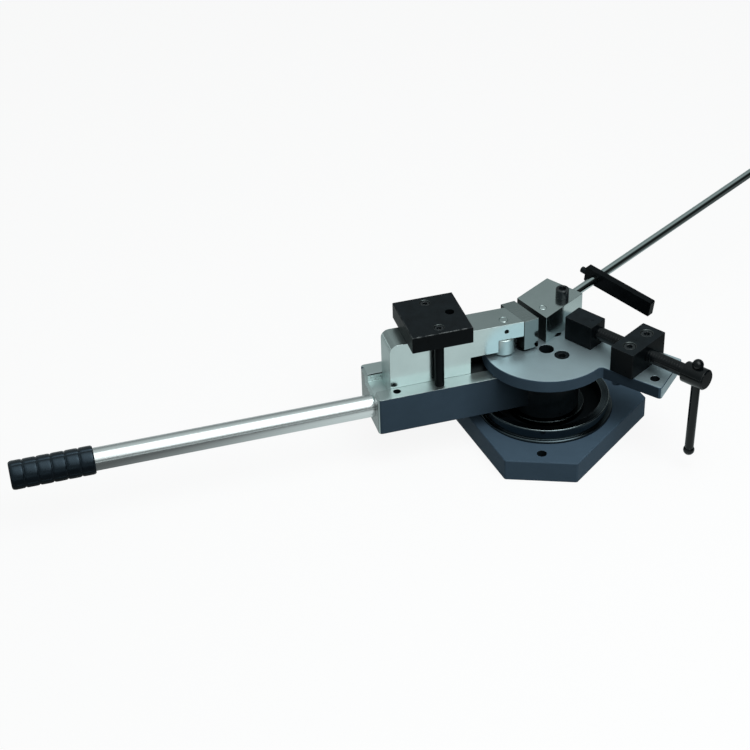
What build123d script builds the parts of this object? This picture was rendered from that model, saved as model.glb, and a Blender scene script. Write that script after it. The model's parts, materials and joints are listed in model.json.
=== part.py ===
from build123d import *
from math import cos, radians, sin, sqrt, tan
import os

os.makedirs("parts", exist_ok=True)

# Frame: origin on the pivot axis at the underside of the base, Z up, X along the clamp spindle.
# Sizes are in millimetres, turns in degrees.

# Clearances
press_gap = 0.02
run_gap = 0.05
slide_gap = 0.1
open_gap = 0.3
bolt_gap = 0.5
end_room = 1.0
drill_room = 2.0
cut_over = 2.0

# Small breaks of edges
fine_break = 0.8

# Base plate
base_thick = 31.0
base_long_reach = 106.7
base_short_reach = 131.0
base_turn = 6.0
base_corner_round = 4.0
base_edge_break = 1.2
mount_hole_dia = 13.0
mount_hole_inset = 19.0

# Guard ring on the base
ring_outer_dia = 174.0
ring_wall = 11.0
ring_height = 18.5
ring_foot_width = 4.5
ring_foot_height = 4.0
ring_foot_break = 1.2
ring_edge_break = 1.0

# Pivot column
collar_dia = 106.0
collar_height = 8.0
hub_dia = 90.0
hub_height = 56.5
hub_play = 0.1
shaft_dia = 60.0
spigot_dia = 44.0
bush_wall = 5.0
bush_length = 20.0
bush_sink = 0.2
thrust_thick = 2.5
flange_thick = 13.0
recess_depth = 16.0
retainer_dia = 70.0
retainer_thick = 6.0
column_screw_dia = 16.0
column_screw_reach = 34.0
key_width = 10.0
key_height = 8.0
key_length = 11.0

# Table with its ear
table_dia = 172.0
table_thick = 17.0
table_edge_break = 0.8
table_screw_dia = 12.0
table_screw_circle = 62.0
table_screw_turn = -11.1
ear_reach = 176.0
ear_front = -4.5
ear_width = 74.5
ear_end_slant = 8.0
ear_corner_round = 4.0
ear_root_round = 6.0
ear_hole_dia = 12.5
ear_hole_inset = 18.3
ear_hole_side = 15.8
pin_bore_dia = 20.0
pin_bore_x = 6.2
pin_bore_y = -8.0

# Die block
die_face_x = -3.0
die_width = 60.5
die_nose_y = 2.5
die_left_y = 16.0
die_back_y = 81.5
die_height = 40.0
die_screw_dia = 12.0
die_screw_inset = 17.3
die_screw_y = 58.9
die_dowel_dia = 10.0
die_dowel_inset = 19.5
die_dowel_y = 19.5

# Clamp
clamp_y = 42.0
spindle_rise = 20.3
spindle_dia = 18.0
journal_dia = 14.0
journal_length = 20.0
journal_groove = 2.5
jaw_pin_dia = 5.0
jaw_pin_sink = 0.6
jaw_gap = 12.5
jaw_length = 43.5
jaw_width = 31.0
jaw_height = 34.7
jaw_ride = 0.1
nut_offset = 46.0
nut_length = 35.5
nut_width = 72.0
nut_height = 37.0
nut_screw_dia = 10.0
nut_screw_span = 38.0
clamp_hub_offset = 57.3
clamp_hub_length = 32.5
clamp_hub_break = 1.8
clamp_hub_bar = 17.0
clamp_hub_dia = 28.0
tommy_dia = 12.0
tommy_span = 132.8
tommy_tilt = 1.9
tommy_knob_dia = 15.0
tommy_knob_rise = 17.2
tommy_neck_ratio = 0.55
tommy_neck_out = 1.5

# Length stop
rod_dia = 12.0
rod_rise = 16.8
rod_depth = 24.0
rod_out = 490.0
rod_screw_dia = 8.0
stop_offset = 69.5
stop_thick = 10.0
stop_height = 23.3
stop_short = 17.5
stop_long = 94.0
stop_tilt = 7.9
stop_corner_round = 2.0
stop_screw_dia = 6.0
stop_screw_head_dia = 9.0
stop_screw_head = 9.0

# Swing arm, in its own frame: t runs outward, o runs to its front side
arm_turn = 238.45
arm_reach = 242.5
arm_front = 28.5
arm_width = 87.5
arm_height = 54.2
arm_table_gap = 1.3
arm_taper_start = 50.0
arm_heel_t = -10.0
arm_heel_inset = 5.0
arm_corner_round = 5.0
flange_clear = 1.5
groove_depth = 12.0
rail_hole_dia = 10.0
rail_hole_inset = 29.5
rail_hole_shift = 3.0
rail_hole_depth = 15.0

# Handle
tube_dia = 30.0
tube_wall = 3.0
tube_rise = 26.8
tube_o = -2.4
tube_spigot_dia = 24.0
tube_plug = 12.0
tube_insert = 50.0
tube_out = 474.0
grip_length = 107.5
grip_dia = 37.5
grip_cap = 4.0
grip_rings = 5
grip_ring_width = 2.2
grip_ring_depth = 1.2
grip_end_round = 3.5
grip_lip_round = 1.5
set_screw_dia = 8.0

# Slide with roller and bending jaw
slide_width = 41.0
slide_front = 6.6
slide_side_gap = 0.2
slide_step_t = 108.5
slide_outer_t = 219.5
slide_rise = 48.0
slide_round = 11.0
nose_gap = 6.8
bend_gap = 3.3
bend_t = 34.2
bend_lead = 1.0
bend_slant = 17.5
bend_skew = 8.0
bend_thick = 20.3
bend_length = 53.0
bend_screw_dia = 6.0
bend_screw_reach = 13.0
bend_screw_front = 11.0
bend_screw_back = 36.0
roller_dia = 33.0
roller_t = 58.7
roller_inset = 13.6
roller_ride = 1.4
roller_clear = 0.4
roller_room = 1.0
roof_thick = 23.0
roller_pin_dia = 12.0
roller_pin_head_dia = 18.0
roller_pin_head = 3.0
pocket_open = 10.3
grub_dia = 6.0
grub_drop = 10.6

# Bridge over the slide
bridge_t = 154.4
bridge_length = 82.3
bridge_front = 31.5
bridge_width = 89.9
bridge_thick = 23.4
bridge_clear = 0.2
bridge_edge_break = 0.8
post_dia = 12.5
post_t = 155.3
post_front_o = 17.4
post_back_o = -44.5
bridge_screw_dia = 8.0
bridge_screw_reach = 16.0
plate_hole_dia = 12.0
plate_hole_t = 131.0
plate_hole_o = -13.5

# Socket head screws: the head and the socket come from the thread size
head_ratio = 1.5
socket_ratio = 0.8
socket_depth_ratio = 0.5
grub_socket_ratio = 0.25

# Heights
collar_top = base_thick + collar_height
hub_high = collar_top + hub_height
washer_low = hub_high + hub_play
flange_low = washer_low + thrust_thick
table_low = flange_low + flange_thick
table_top = table_low + table_thick
rail_top = table_low - arm_table_gap
arm_low = rail_top - arm_height
groove_floor = rail_top - groove_depth
nose_low = table_top + nose_gap
bend_low = table_top + bend_gap
slide_top = table_top + slide_rise
pocket_roof = slide_top - roof_thick
bridge_low = slide_top + bridge_clear
bridge_top = bridge_low + bridge_thick
spindle_z = table_top + spindle_rise
die_top = table_top + die_height
rod_z = table_top + rod_rise
tube_z = arm_low + tube_rise

# Places across
arm_back = arm_front - arm_width
slide_back = slide_front - slide_width
slide_mid = slide_front - slide_width / 2
rail_front_mid = (arm_front + slide_front) / 2
roller_o = slide_front - roller_inset
jaw_near = die_face_x + jaw_gap
jaw_far = jaw_near + jaw_length
nut_near = jaw_far + nut_offset
nut_far = nut_near + nut_length
nut_mid = (nut_near + nut_far) / 2
clamp_hub_near = nut_far + clamp_hub_offset
tommy_x = clamp_hub_near + clamp_hub_bar
die_left_x = die_face_x - die_width
rod_x = die_face_x - die_width / 2
grip_end_t = arm_reach + tube_out + grip_cap
grip_start_t = grip_end_t - grip_length
arm_way = Vector(cos(radians(arm_turn)), sin(radians(arm_turn)), 0)
arm_side = Vector(-sin(radians(arm_turn)), cos(radians(arm_turn)), 0)
arm_plane = Plane(origin=(0, 0, 0), x_dir=arm_way, z_dir=(0, 0, 1))
ear_plane = Plane(
    origin=(0, 0, 0),
    x_dir=(cos(radians(base_turn)), sin(radians(base_turn)), 0),
    z_dir=(0, 0, 1),
)


def arm_spot(t, o, z):
    # A point of the arm's frame in the frame of the whole object.
    return arm_way * t + arm_side * o + Vector(0, 0, z)


# Base plate
with BuildPart() as base_plate:
    with BuildSketch():
        RegularPolygon(base_short_reach, 3, major_radius=False, rotation=base_turn)
        RegularPolygon(
            base_long_reach, 3, major_radius=False, rotation=base_turn + 60, mode=Mode.INTERSECT
        )
    extrude(amount=base_thick)
    fillet(base_plate.edges().filter_by(Axis.Z), radius=base_corner_round)
    chamfer(base_plate.faces().sort_by(Axis.Z)[-1].edges(), length=base_edge_break)
    with BuildSketch():
        with PolarLocations(base_short_reach - mount_hole_inset, 3, start_angle=base_turn - 60):
            Circle(mount_hole_dia / 2)
    extrude(amount=base_thick, mode=Mode.SUBTRACT)
    with BuildSketch(Plane.XY.offset(recess_depth)):
        Circle(spigot_dia / 2 + press_gap)
        with Locations((spigot_dia / 2, 0)):
            Rectangle(key_height + 2 * press_gap, key_width + 2 * press_gap)
    extrude(amount=base_thick - recess_depth, mode=Mode.SUBTRACT)
    with BuildSketch():
        Circle(retainer_dia / 2 + bolt_gap)
    extrude(amount=recess_depth, mode=Mode.SUBTRACT)
base_plate.part.label = "base_plate"
export_step(base_plate.part, "parts/base_plate.step")

# Guard ring round the pivot
with BuildPart() as guard_ring:
    with BuildSketch(Plane.XZ):
        with BuildLine():
            Polyline(
                (ring_outer_dia / 2 - ring_wall, base_thick),
                (ring_outer_dia / 2 + ring_foot_width, base_thick),
                (ring_outer_dia / 2 + ring_foot_width, base_thick + ring_foot_height - ring_foot_break),
                (ring_outer_dia / 2 + ring_foot_width - ring_foot_break, base_thick + ring_foot_height),
                (ring_outer_dia / 2, base_thick + ring_foot_height),
                (ring_outer_dia / 2, base_thick + ring_height - ring_edge_break),
                (ring_outer_dia / 2 - ring_edge_break, base_thick + ring_height),
                (ring_outer_dia / 2 - ring_wall, base_thick + ring_height),
                close=True,
            )
        make_face()
    revolve(axis=Axis.Z)
guard_ring.part.label = "guard_ring"
export_step(guard_ring.part, "parts/guard_ring.step")

# Lower thrust ring that carries the arm's hub
with BuildPart() as lower_thrust_ring:
    with BuildSketch(Plane.XY.offset(base_thick)):
        Circle(collar_dia / 2)
        Circle(shaft_dia / 2 + press_gap, mode=Mode.SUBTRACT)
    extrude(amount=collar_height)
    chamfer(
        lower_thrust_ring.faces().sort_by(Axis.Z)[-1].edges().sort_by(SortBy.LENGTH)[-1],
        length=fine_break,
    )
lower_thrust_ring.part.label = "lower_thrust_ring"
export_step(lower_thrust_ring.part, "parts/lower_thrust_ring.step")

# Column: shaft with the head flange that carries the table
with BuildPart() as column:
    with BuildSketch(Plane.XY.offset(base_thick)):
        Circle(shaft_dia / 2)
    extrude(amount=flange_low - base_thick)
    with BuildSketch(Plane.XY.offset(flange_low)):
        Circle(hub_dia / 2)
    extrude(amount=flange_thick)
    with BuildSketch(Plane.XY.offset(recess_depth + bolt_gap)):
        Circle(spigot_dia / 2)
    extrude(amount=base_thick - recess_depth - bolt_gap)
    with BuildSketch(Plane.XY.offset(recess_depth)):
        with Locations((spigot_dia / 2, 0)):
            Rectangle(key_height + 2 * press_gap, key_width + 2 * press_gap)
    extrude(amount=base_thick - recess_depth, mode=Mode.SUBTRACT)
    with BuildSketch(Plane.XY.offset(recess_depth)):
        Circle(column_screw_dia / 2 + press_gap)
    extrude(amount=column_screw_reach + drill_room, mode=Mode.SUBTRACT)
    with BuildSketch(Plane.XY.offset(table_low)):
        with PolarLocations(table_screw_circle / 2, 3, start_angle=table_screw_turn):
            Circle(table_screw_dia / 2 + press_gap)
    extrude(amount=-(flange_thick - end_room), mode=Mode.SUBTRACT)
column.part.label = "column"
export_step(column.part, "parts/column.step")

# Key between the column and the base
with BuildPart() as column_key:
    with BuildSketch(Plane.XY.offset(base_thick - key_length - end_room)):
        with Locations((spigot_dia / 2, 0)):
            Rectangle(key_height, key_width)
    extrude(amount=key_length)
column_key.part.label = "column_key"
export_step(column_key.part, "parts/column_key.step")

# Retaining washer under the base
with BuildPart() as retaining_washer:
    with BuildSketch(Plane.XY.offset(recess_depth - retainer_thick)):
        Circle(retainer_dia / 2)
        Circle(column_screw_dia / 2 + bolt_gap, mode=Mode.SUBTRACT)
    extrude(amount=retainer_thick)
retaining_washer.part.label = "retaining_washer"
export_step(retaining_washer.part, "parts/retaining_washer.step")

# Low-head screw that pulls the column into the base
column_head = recess_depth - retainer_thick - end_room
with BuildPart() as column_screw:
    with BuildSketch(Plane.XY.offset(recess_depth - retainer_thick)):
        Circle(column_screw_dia / 2)
    extrude(amount=retainer_thick + column_screw_reach)
    with BuildSketch(Plane.XY.offset(recess_depth - retainer_thick)):
        Circle(column_screw_dia * head_ratio / 2)
    extrude(amount=-column_head)
    with BuildSketch(Plane.XY.offset(recess_depth - retainer_thick - column_head)):
        RegularPolygon(column_screw_dia * socket_ratio / 2, 6, major_radius=False)
    extrude(amount=column_head * socket_depth_ratio, mode=Mode.SUBTRACT)
column_screw.part.label = "column_screw"
export_step(column_screw.part, "parts/column_screw.step")

# Upper thrust washer between the hub and the flange
with BuildPart() as upper_thrust_washer:
    with BuildSketch(Plane.XY.offset(washer_low)):
        Circle(hub_dia / 2 - end_room)
        Circle(shaft_dia / 2 + press_gap, mode=Mode.SUBTRACT)
    extrude(amount=thrust_thick)
upper_thrust_washer.part.label = "upper_thrust_washer"
export_step(upper_thrust_washer.part, "parts/upper_thrust_washer.step")

# Table with the ear that carries the clamp nut
table_bore_floor = table_thick - table_screw_dia - end_room
with BuildPart() as table_plate:
    with BuildSketch(ear_plane.offset(table_low)) as table_outline:
        Circle(table_dia / 2)
        with BuildLine():
            Polyline(
                (0, ear_front),
                (ear_reach, ear_front),
                (ear_reach - ear_width * tan(radians(ear_end_slant)), ear_front + ear_width),
                (0, ear_front + ear_width),
                close=True,
            )
        make_face()
        fillet(
            table_outline.vertices().sort_by_distance((ear_reach, ear_front))[0],
            radius=ear_corner_round,
        )
        fillet(
            table_outline.vertices().sort_by_distance((ear_reach, ear_front + ear_width))[0],
            radius=ear_corner_round,
        )
        fillet(
            table_outline.vertices().sort_by_distance(
                (sqrt((table_dia / 2) ** 2 - ear_front**2), ear_front)
            )[0],
            radius=ear_root_round,
        )
        fillet(
            table_outline.vertices().sort_by_distance(
                (sqrt((table_dia / 2) ** 2 - (ear_front + ear_width) ** 2), ear_front + ear_width)
            )[0],
            radius=ear_root_round,
        )
    extrude(amount=table_thick)
    chamfer(table_plate.faces().sort_by(Axis.Z)[-1].edges(), length=table_edge_break)
    with BuildSketch(Plane.XY.offset(table_low)):
        with PolarLocations(table_screw_circle / 2, 3, start_angle=table_screw_turn):
            Circle(table_screw_dia / 2 + bolt_gap)
        with Locations((pin_bore_x, pin_bore_y)):
            Circle(pin_bore_dia / 2)
        with Locations((die_face_x - die_screw_inset, die_screw_y)):
            Circle(die_screw_dia / 2 + press_gap)
        with Locations(
            (nut_mid, clamp_y - nut_screw_span / 2), (nut_mid, clamp_y + nut_screw_span / 2)
        ):
            Circle(nut_screw_dia / 2 + press_gap)
    extrude(amount=table_thick, mode=Mode.SUBTRACT)
    with BuildSketch(Plane.XY.offset(table_low + table_bore_floor)):
        with PolarLocations(table_screw_circle / 2, 3, start_angle=table_screw_turn):
            Circle(table_screw_dia * head_ratio / 2 + end_room)
    extrude(amount=table_thick, mode=Mode.SUBTRACT)
    with BuildSketch(Plane.XY.offset(table_top)):
        with Locations((die_face_x - die_dowel_inset, die_dowel_y)):
            Circle(die_dowel_dia / 2 + press_gap)
    extrude(amount=-die_dowel_dia, mode=Mode.SUBTRACT)
    with BuildSketch(ear_plane.offset(table_low)):
        with Locations((ear_reach - ear_hole_inset, ear_front + ear_hole_side)):
            Circle(ear_hole_dia / 2)
    extrude(amount=table_thick, mode=Mode.SUBTRACT)
table_plate.part.label = "table_plate"
export_step(table_plate.part, "parts/table_plate.step")

# Screws that hold the table on the column
with BuildPart() as table_screws:
    with BuildSketch(Plane.XY.offset(table_low + table_bore_floor)):
        with PolarLocations(table_screw_circle / 2, 3, start_angle=table_screw_turn):
            Circle(table_screw_dia * head_ratio / 2)
    extrude(amount=table_screw_dia)
    with BuildSketch(Plane.XY.offset(table_low + table_bore_floor)):
        with PolarLocations(table_screw_circle / 2, 3, start_angle=table_screw_turn):
            Circle(table_screw_dia / 2)
    extrude(amount=-(table_bore_floor + flange_thick - drill_room))
    with BuildSketch(Plane.XY.offset(table_low + table_bore_floor + table_screw_dia)):
        with PolarLocations(table_screw_circle / 2, 3, start_angle=table_screw_turn):
            RegularPolygon(table_screw_dia * socket_ratio / 2, 6, major_radius=False)
    extrude(amount=-table_screw_dia * socket_depth_ratio, mode=Mode.SUBTRACT)
table_screws.part.label = "table_screws"
export_step(table_screws.part, "parts/table_screws.step")

# Die block with its slanted relief
with BuildPart() as die_block:
    with BuildSketch(Plane.XY.offset(table_top)):
        with BuildLine():
            Polyline(
                (die_face_x, die_nose_y),
                (die_left_x, die_left_y),
                (die_left_x, die_back_y),
                (die_face_x, die_back_y),
                close=True,
            )
        make_face()
    extrude(amount=die_height)
    with BuildSketch(Plane.XY.offset(table_top)):
        with Locations((die_face_x - die_screw_inset, die_screw_y)):
            Circle(die_screw_dia / 2 + bolt_gap)
        with Locations((die_face_x - die_dowel_inset, die_dowel_y)):
            Circle(die_dowel_dia / 2 + press_gap)
    extrude(amount=die_height, mode=Mode.SUBTRACT)
    with BuildSketch(Plane(origin=(rod_x, die_back_y, rod_z), x_dir=(1, 0, 0), z_dir=(0, 1, 0))):
        Circle(rod_dia / 2 + run_gap)
    extrude(amount=-rod_depth, mode=Mode.SUBTRACT)
    with BuildSketch(
        Plane(origin=(die_left_x, die_back_y - rod_depth / 2, rod_z), x_dir=(0, 1, 0), z_dir=(-1, 0, 0))
    ):
        Circle(rod_screw_dia / 2 + press_gap)
    extrude(amount=-die_width / 2, mode=Mode.SUBTRACT)
die_block.part.label = "die_block"
export_step(die_block.part, "parts/die_block.step")

# Screw that holds the die down
with BuildPart() as die_screw:
    with BuildSketch(Plane.XY.offset(die_top)):
        with Locations((die_face_x - die_screw_inset, die_screw_y)):
            Circle(die_screw_dia * head_ratio / 2)
    extrude(amount=die_screw_dia)
    chamfer(
        die_screw.faces().sort_by(Axis.Z)[-1].edges(),
        length=fine_break,
    )
    with BuildSketch(Plane.XY.offset(die_top)):
        with Locations((die_face_x - die_screw_inset, die_screw_y)):
            Circle(die_screw_dia / 2)
    extrude(amount=-(die_height + table_thick - drill_room))
    with BuildSketch(Plane.XY.offset(die_top + die_screw_dia)):
        with Locations((die_face_x - die_screw_inset, die_screw_y)):
            RegularPolygon(die_screw_dia * socket_ratio / 2, 6, major_radius=False)
    extrude(amount=-die_screw_dia * socket_depth_ratio, mode=Mode.SUBTRACT)
die_screw.part.label = "die_screw"
export_step(die_screw.part, "parts/die_screw.step")

# Dowel that keeps the die from turning
with BuildPart() as die_dowel:
    with BuildSketch(Plane.XY.offset(table_top - die_dowel_dia + bolt_gap)):
        with Locations((die_face_x - die_dowel_inset, die_dowel_y)):
            Circle(die_dowel_dia / 2)
    extrude(amount=die_height + die_dowel_dia - bolt_gap)
    chamfer(die_dowel.faces().sort_by(Axis.Z)[-1].edges(), length=fine_break)
die_dowel.part.label = "die_dowel"
export_step(die_dowel.part, "parts/die_dowel.step")

# Grub screw that locks the stop rod in the die
with BuildPart() as rod_grub_screw:
    with BuildSketch(
        Plane(
            origin=(die_left_x + end_room, die_back_y - rod_depth / 2, rod_z),
            x_dir=(0, 1, 0),
            z_dir=(1, 0, 0),
        )
    ):
        Circle(rod_screw_dia / 2)
    extrude(amount=die_width / 2 - rod_dia / 2 - open_gap - end_room)
    with BuildSketch(
        Plane(
            origin=(die_left_x + end_room, die_back_y - rod_depth / 2, rod_z),
            x_dir=(0, 1, 0),
            z_dir=(1, 0, 0),
        )
    ):
        RegularPolygon(rod_screw_dia * grub_socket_ratio, 6, major_radius=False)
    extrude(amount=rod_screw_dia * socket_depth_ratio, mode=Mode.SUBTRACT)
rod_grub_screw.part.label = "rod_grub_screw"
export_step(rod_grub_screw.part, "parts/rod_grub_screw.step")

# Nut block on the ear
nut_bore_floor = nut_height - nut_screw_dia - end_room
with BuildPart() as nut_block:
    with BuildSketch(Plane.XY.offset(table_top)):
        with Locations((nut_mid, clamp_y)):
            Rectangle(nut_length, nut_width)
    extrude(amount=nut_height)
    chamfer(nut_block.edges().filter_by(Axis.Z), length=fine_break)
    with BuildSketch(Plane.YZ.offset(nut_near)):
        with Locations((clamp_y, spindle_z)):
            Circle(spindle_dia / 2 + run_gap)
    extrude(amount=nut_length, mode=Mode.SUBTRACT)
    with BuildSketch(Plane.XY.offset(table_top)):
        with Locations(
            (nut_mid, clamp_y - nut_screw_span / 2), (nut_mid, clamp_y + nut_screw_span / 2)
        ):
            Circle(nut_screw_dia / 2 + bolt_gap)
    extrude(amount=nut_height, mode=Mode.SUBTRACT)
    with BuildSketch(Plane.XY.offset(table_top + nut_bore_floor)):
        with Locations(
            (nut_mid, clamp_y - nut_screw_span / 2), (nut_mid, clamp_y + nut_screw_span / 2)
        ):
            Circle(nut_screw_dia * head_ratio / 2 + bolt_gap)
    extrude(amount=nut_height, mode=Mode.SUBTRACT)
nut_block.part.label = "nut_block"
export_step(nut_block.part, "parts/nut_block.step")

# Screws that hold the nut block on the ear
with BuildPart() as nut_block_screws:
    with BuildSketch(Plane.XY.offset(table_top + nut_bore_floor)):
        with Locations(
            (nut_mid, clamp_y - nut_screw_span / 2), (nut_mid, clamp_y + nut_screw_span / 2)
        ):
            Circle(nut_screw_dia * head_ratio / 2)
    extrude(amount=nut_screw_dia)
    with BuildSketch(Plane.XY.offset(table_top + nut_bore_floor)):
        with Locations(
            (nut_mid, clamp_y - nut_screw_span / 2), (nut_mid, clamp_y + nut_screw_span / 2)
        ):
            Circle(nut_screw_dia / 2)
    extrude(amount=-(nut_bore_floor + table_thick - drill_room))
    with BuildSketch(Plane.XY.offset(table_top + nut_bore_floor + nut_screw_dia)):
        with Locations(
            (nut_mid, clamp_y - nut_screw_span / 2), (nut_mid, clamp_y + nut_screw_span / 2)
        ):
            RegularPolygon(nut_screw_dia * socket_ratio / 2, 6, major_radius=False)
    extrude(amount=-nut_screw_dia * socket_depth_ratio, mode=Mode.SUBTRACT)
nut_block_screws.part.label = "nut_block_screws"
export_step(nut_block_screws.part, "parts/nut_block_screws.step")

# Moving jaw with the blind bore for the spindle's journal
jaw_low = table_top + jaw_ride
jaw_top = jaw_low + jaw_height
pin_x = jaw_far - journal_length / 2
with BuildPart() as moving_jaw:
    with BuildSketch(Plane.XY.offset(jaw_low)):
        with Locations(((jaw_near + jaw_far) / 2, clamp_y)):
            Rectangle(jaw_length, jaw_width)
    extrude(amount=jaw_height)
    chamfer(moving_jaw.edges().filter_by(Axis.Z), length=fine_break)
    with BuildSketch(Plane.YZ.offset(jaw_far)):
        with Locations((clamp_y, spindle_z)):
            Circle(journal_dia / 2 + run_gap)
    extrude(amount=-(journal_length + open_gap), mode=Mode.SUBTRACT)
    with BuildSketch(Plane.XY.offset(jaw_top)):
        with Locations((pin_x, clamp_y)):
            Circle(jaw_pin_dia / 2 + press_gap)
    extrude(amount=-(jaw_top - spindle_z), mode=Mode.SUBTRACT)
moving_jaw.part.label = "moving_jaw"
export_step(moving_jaw.part, "parts/moving_jaw.step")

# Pin that holds the journal in the jaw
with BuildPart() as jaw_pin:
    with BuildSketch(Plane.XY.offset(spindle_z + journal_dia / 2 - journal_groove + open_gap)):
        with Locations((pin_x, clamp_y)):
            Circle(jaw_pin_dia / 2)
    extrude(amount=jaw_top - jaw_pin_sink - (spindle_z + journal_dia / 2 - journal_groove + open_gap))
jaw_pin.part.label = "jaw_pin"
export_step(jaw_pin.part, "parts/jaw_pin.step")

# Clamp spindle with its cross-drilled hub
tommy_way = Vector(0, sin(radians(tommy_tilt)), cos(radians(tommy_tilt)))
tommy_centre = Vector(tommy_x, clamp_y, spindle_z)
with BuildPart() as clamp_spindle:
    with BuildSketch(Plane.YZ.offset(jaw_far - journal_length)):
        with Locations((clamp_y, spindle_z)):
            Circle(journal_dia / 2)
    extrude(amount=journal_length + open_gap)
    with BuildSketch(Plane.YZ.offset(jaw_far + open_gap)):
        with Locations((clamp_y, spindle_z)):
            Circle(spindle_dia / 2)
    extrude(amount=clamp_hub_near - jaw_far - open_gap)
    with BuildSketch(Plane.YZ.offset(clamp_hub_near)):
        with Locations((clamp_y, spindle_z)):
            Circle(clamp_hub_dia / 2)
    extrude(amount=clamp_hub_length)
    chamfer(clamp_spindle.faces().sort_by(Axis.X)[-1].edges(), length=clamp_hub_break)
    with BuildSketch(Plane.YZ.offset(pin_x - jaw_pin_dia / 2 - open_gap)):
        with Locations((clamp_y, spindle_z)):
            Circle(journal_dia / 2 + cut_over)
            Circle(journal_dia / 2 - journal_groove, mode=Mode.SUBTRACT)
    extrude(amount=jaw_pin_dia + 2 * open_gap, mode=Mode.SUBTRACT)
    with BuildSketch(
        Plane(origin=tommy_centre - tommy_way * clamp_hub_dia, x_dir=(1, 0, 0), z_dir=tommy_way)
    ):
        Circle(tommy_dia / 2 + slide_gap)
    extrude(amount=2 * clamp_hub_dia, mode=Mode.SUBTRACT)
    with Locations(
        tommy_centre + tommy_way * tommy_knob_rise, tommy_centre - tommy_way * tommy_knob_rise
    ):
        Sphere(tommy_knob_dia / 2 + open_gap, mode=Mode.SUBTRACT)
clamp_spindle.part.label = "clamp_spindle"
export_step(clamp_spindle.part, "parts/clamp_spindle.step")

# Tommy bar, slid fully down
knob_flat = sqrt((tommy_knob_dia / 2) ** 2 - (tommy_dia / 2) ** 2)
tommy_upper = tommy_centre + tommy_way * tommy_knob_rise
tommy_lower = tommy_upper - tommy_way * tommy_span
tommy_neck_dia = tommy_dia * tommy_neck_ratio
tommy_bore_out = tommy_neck_out + bolt_gap
with BuildPart() as tommy_bar:
    with BuildSketch(
        Plane(origin=tommy_lower + tommy_way * knob_flat, x_dir=(1, 0, 0), z_dir=tommy_way)
    ):
        Circle(tommy_dia / 2)
    extrude(amount=tommy_span - 2 * knob_flat)
    with BuildSketch(
        Plane(origin=tommy_lower - tommy_way * tommy_neck_out, x_dir=(1, 0, 0), z_dir=tommy_way)
    ):
        Circle(tommy_neck_dia / 2)
    extrude(amount=tommy_span + 2 * tommy_neck_out)
tommy_bar.part.label = "tommy_bar"
export_step(tommy_bar.part, "parts/tommy_bar.step")

# Ball ends of the tommy bar
with BuildPart() as tommy_balls:
    with Locations(tommy_upper, tommy_lower):
        Sphere(tommy_knob_dia / 2)
    with BuildSketch(
        Plane(origin=tommy_lower + tommy_way * knob_flat, x_dir=(1, 0, 0), z_dir=tommy_way)
    ):
        Circle(tommy_knob_dia)
    extrude(amount=tommy_span - 2 * knob_flat, mode=Mode.SUBTRACT)
    with BuildSketch(
        Plane(origin=tommy_lower - tommy_way * tommy_bore_out, x_dir=(1, 0, 0), z_dir=tommy_way)
    ):
        Circle(tommy_neck_dia / 2 + press_gap)
    extrude(amount=tommy_span + 2 * tommy_bore_out, mode=Mode.SUBTRACT)
tommy_balls.part.label = "tommy_balls"
export_step(tommy_balls.part, "parts/tommy_balls.step")

# Stop rod in the die's back
with BuildPart() as stop_rod:
    with BuildSketch(
        Plane(
            origin=(rod_x, die_back_y - rod_depth + open_gap, rod_z),
            x_dir=(1, 0, 0),
            z_dir=(0, 1, 0),
        )
    ):
        Circle(rod_dia / 2)
    extrude(amount=rod_out + rod_depth - open_gap)
    chamfer(stop_rod.faces().filter_by(Axis.Y).edges(), length=fine_break)
stop_rod.part.label = "stop_rod"
export_step(stop_rod.part, "parts/stop_rod.step")

# Stop bar on the rod, its long end a little low
stop_way = Vector(cos(radians(stop_tilt)), 0, -sin(radians(stop_tilt)))
stop_spot = Vector(rod_x, die_back_y + stop_offset, rod_z)
stop_plane = Plane(
    origin=stop_spot + Vector(0, stop_thick, 0), x_dir=stop_way, z_dir=(0, -1, 0)
)
stop_end = Plane(
    origin=stop_spot + Vector(0, stop_thick / 2, 0) - stop_way * stop_short,
    x_dir=(0, 1, 0),
    z_dir=stop_way * -1,
)
with BuildPart() as stop_bar:
    with BuildSketch(stop_plane):
        with Locations(((stop_long - stop_short) / 2, 0)):
            RectangleRounded(stop_long + stop_short, stop_height, stop_corner_round)
        Circle(rod_dia / 2 + slide_gap, mode=Mode.SUBTRACT)
    extrude(amount=stop_thick)
    with BuildSketch(stop_end):
        Circle(stop_screw_dia / 2 + run_gap)
    extrude(amount=-stop_short, mode=Mode.SUBTRACT)
stop_bar.part.label = "stop_bar"
export_step(stop_bar.part, "parts/stop_bar.step")

# Screw that clamps the stop bar on the rod
with BuildPart() as stop_screw:
    with BuildSketch(stop_end.offset(open_gap)):
        Circle(stop_screw_head_dia / 2)
    extrude(amount=stop_screw_head)
    chamfer(
        stop_screw.edges()
        .filter_by(GeomType.CIRCLE)
        .sort_by_distance(
            stop_spot
            + Vector(0, stop_thick / 2, 0)
            - stop_way * (stop_short + open_gap + 2 * stop_screw_head)
        )[0],
        length=fine_break,
    )
    with BuildSketch(stop_end.offset(open_gap)):
        Circle(stop_screw_dia / 2)
    extrude(amount=-(stop_short - rod_dia / 2))
stop_screw.part.label = "stop_screw"
export_step(stop_screw.part, "parts/stop_screw.step")

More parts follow.
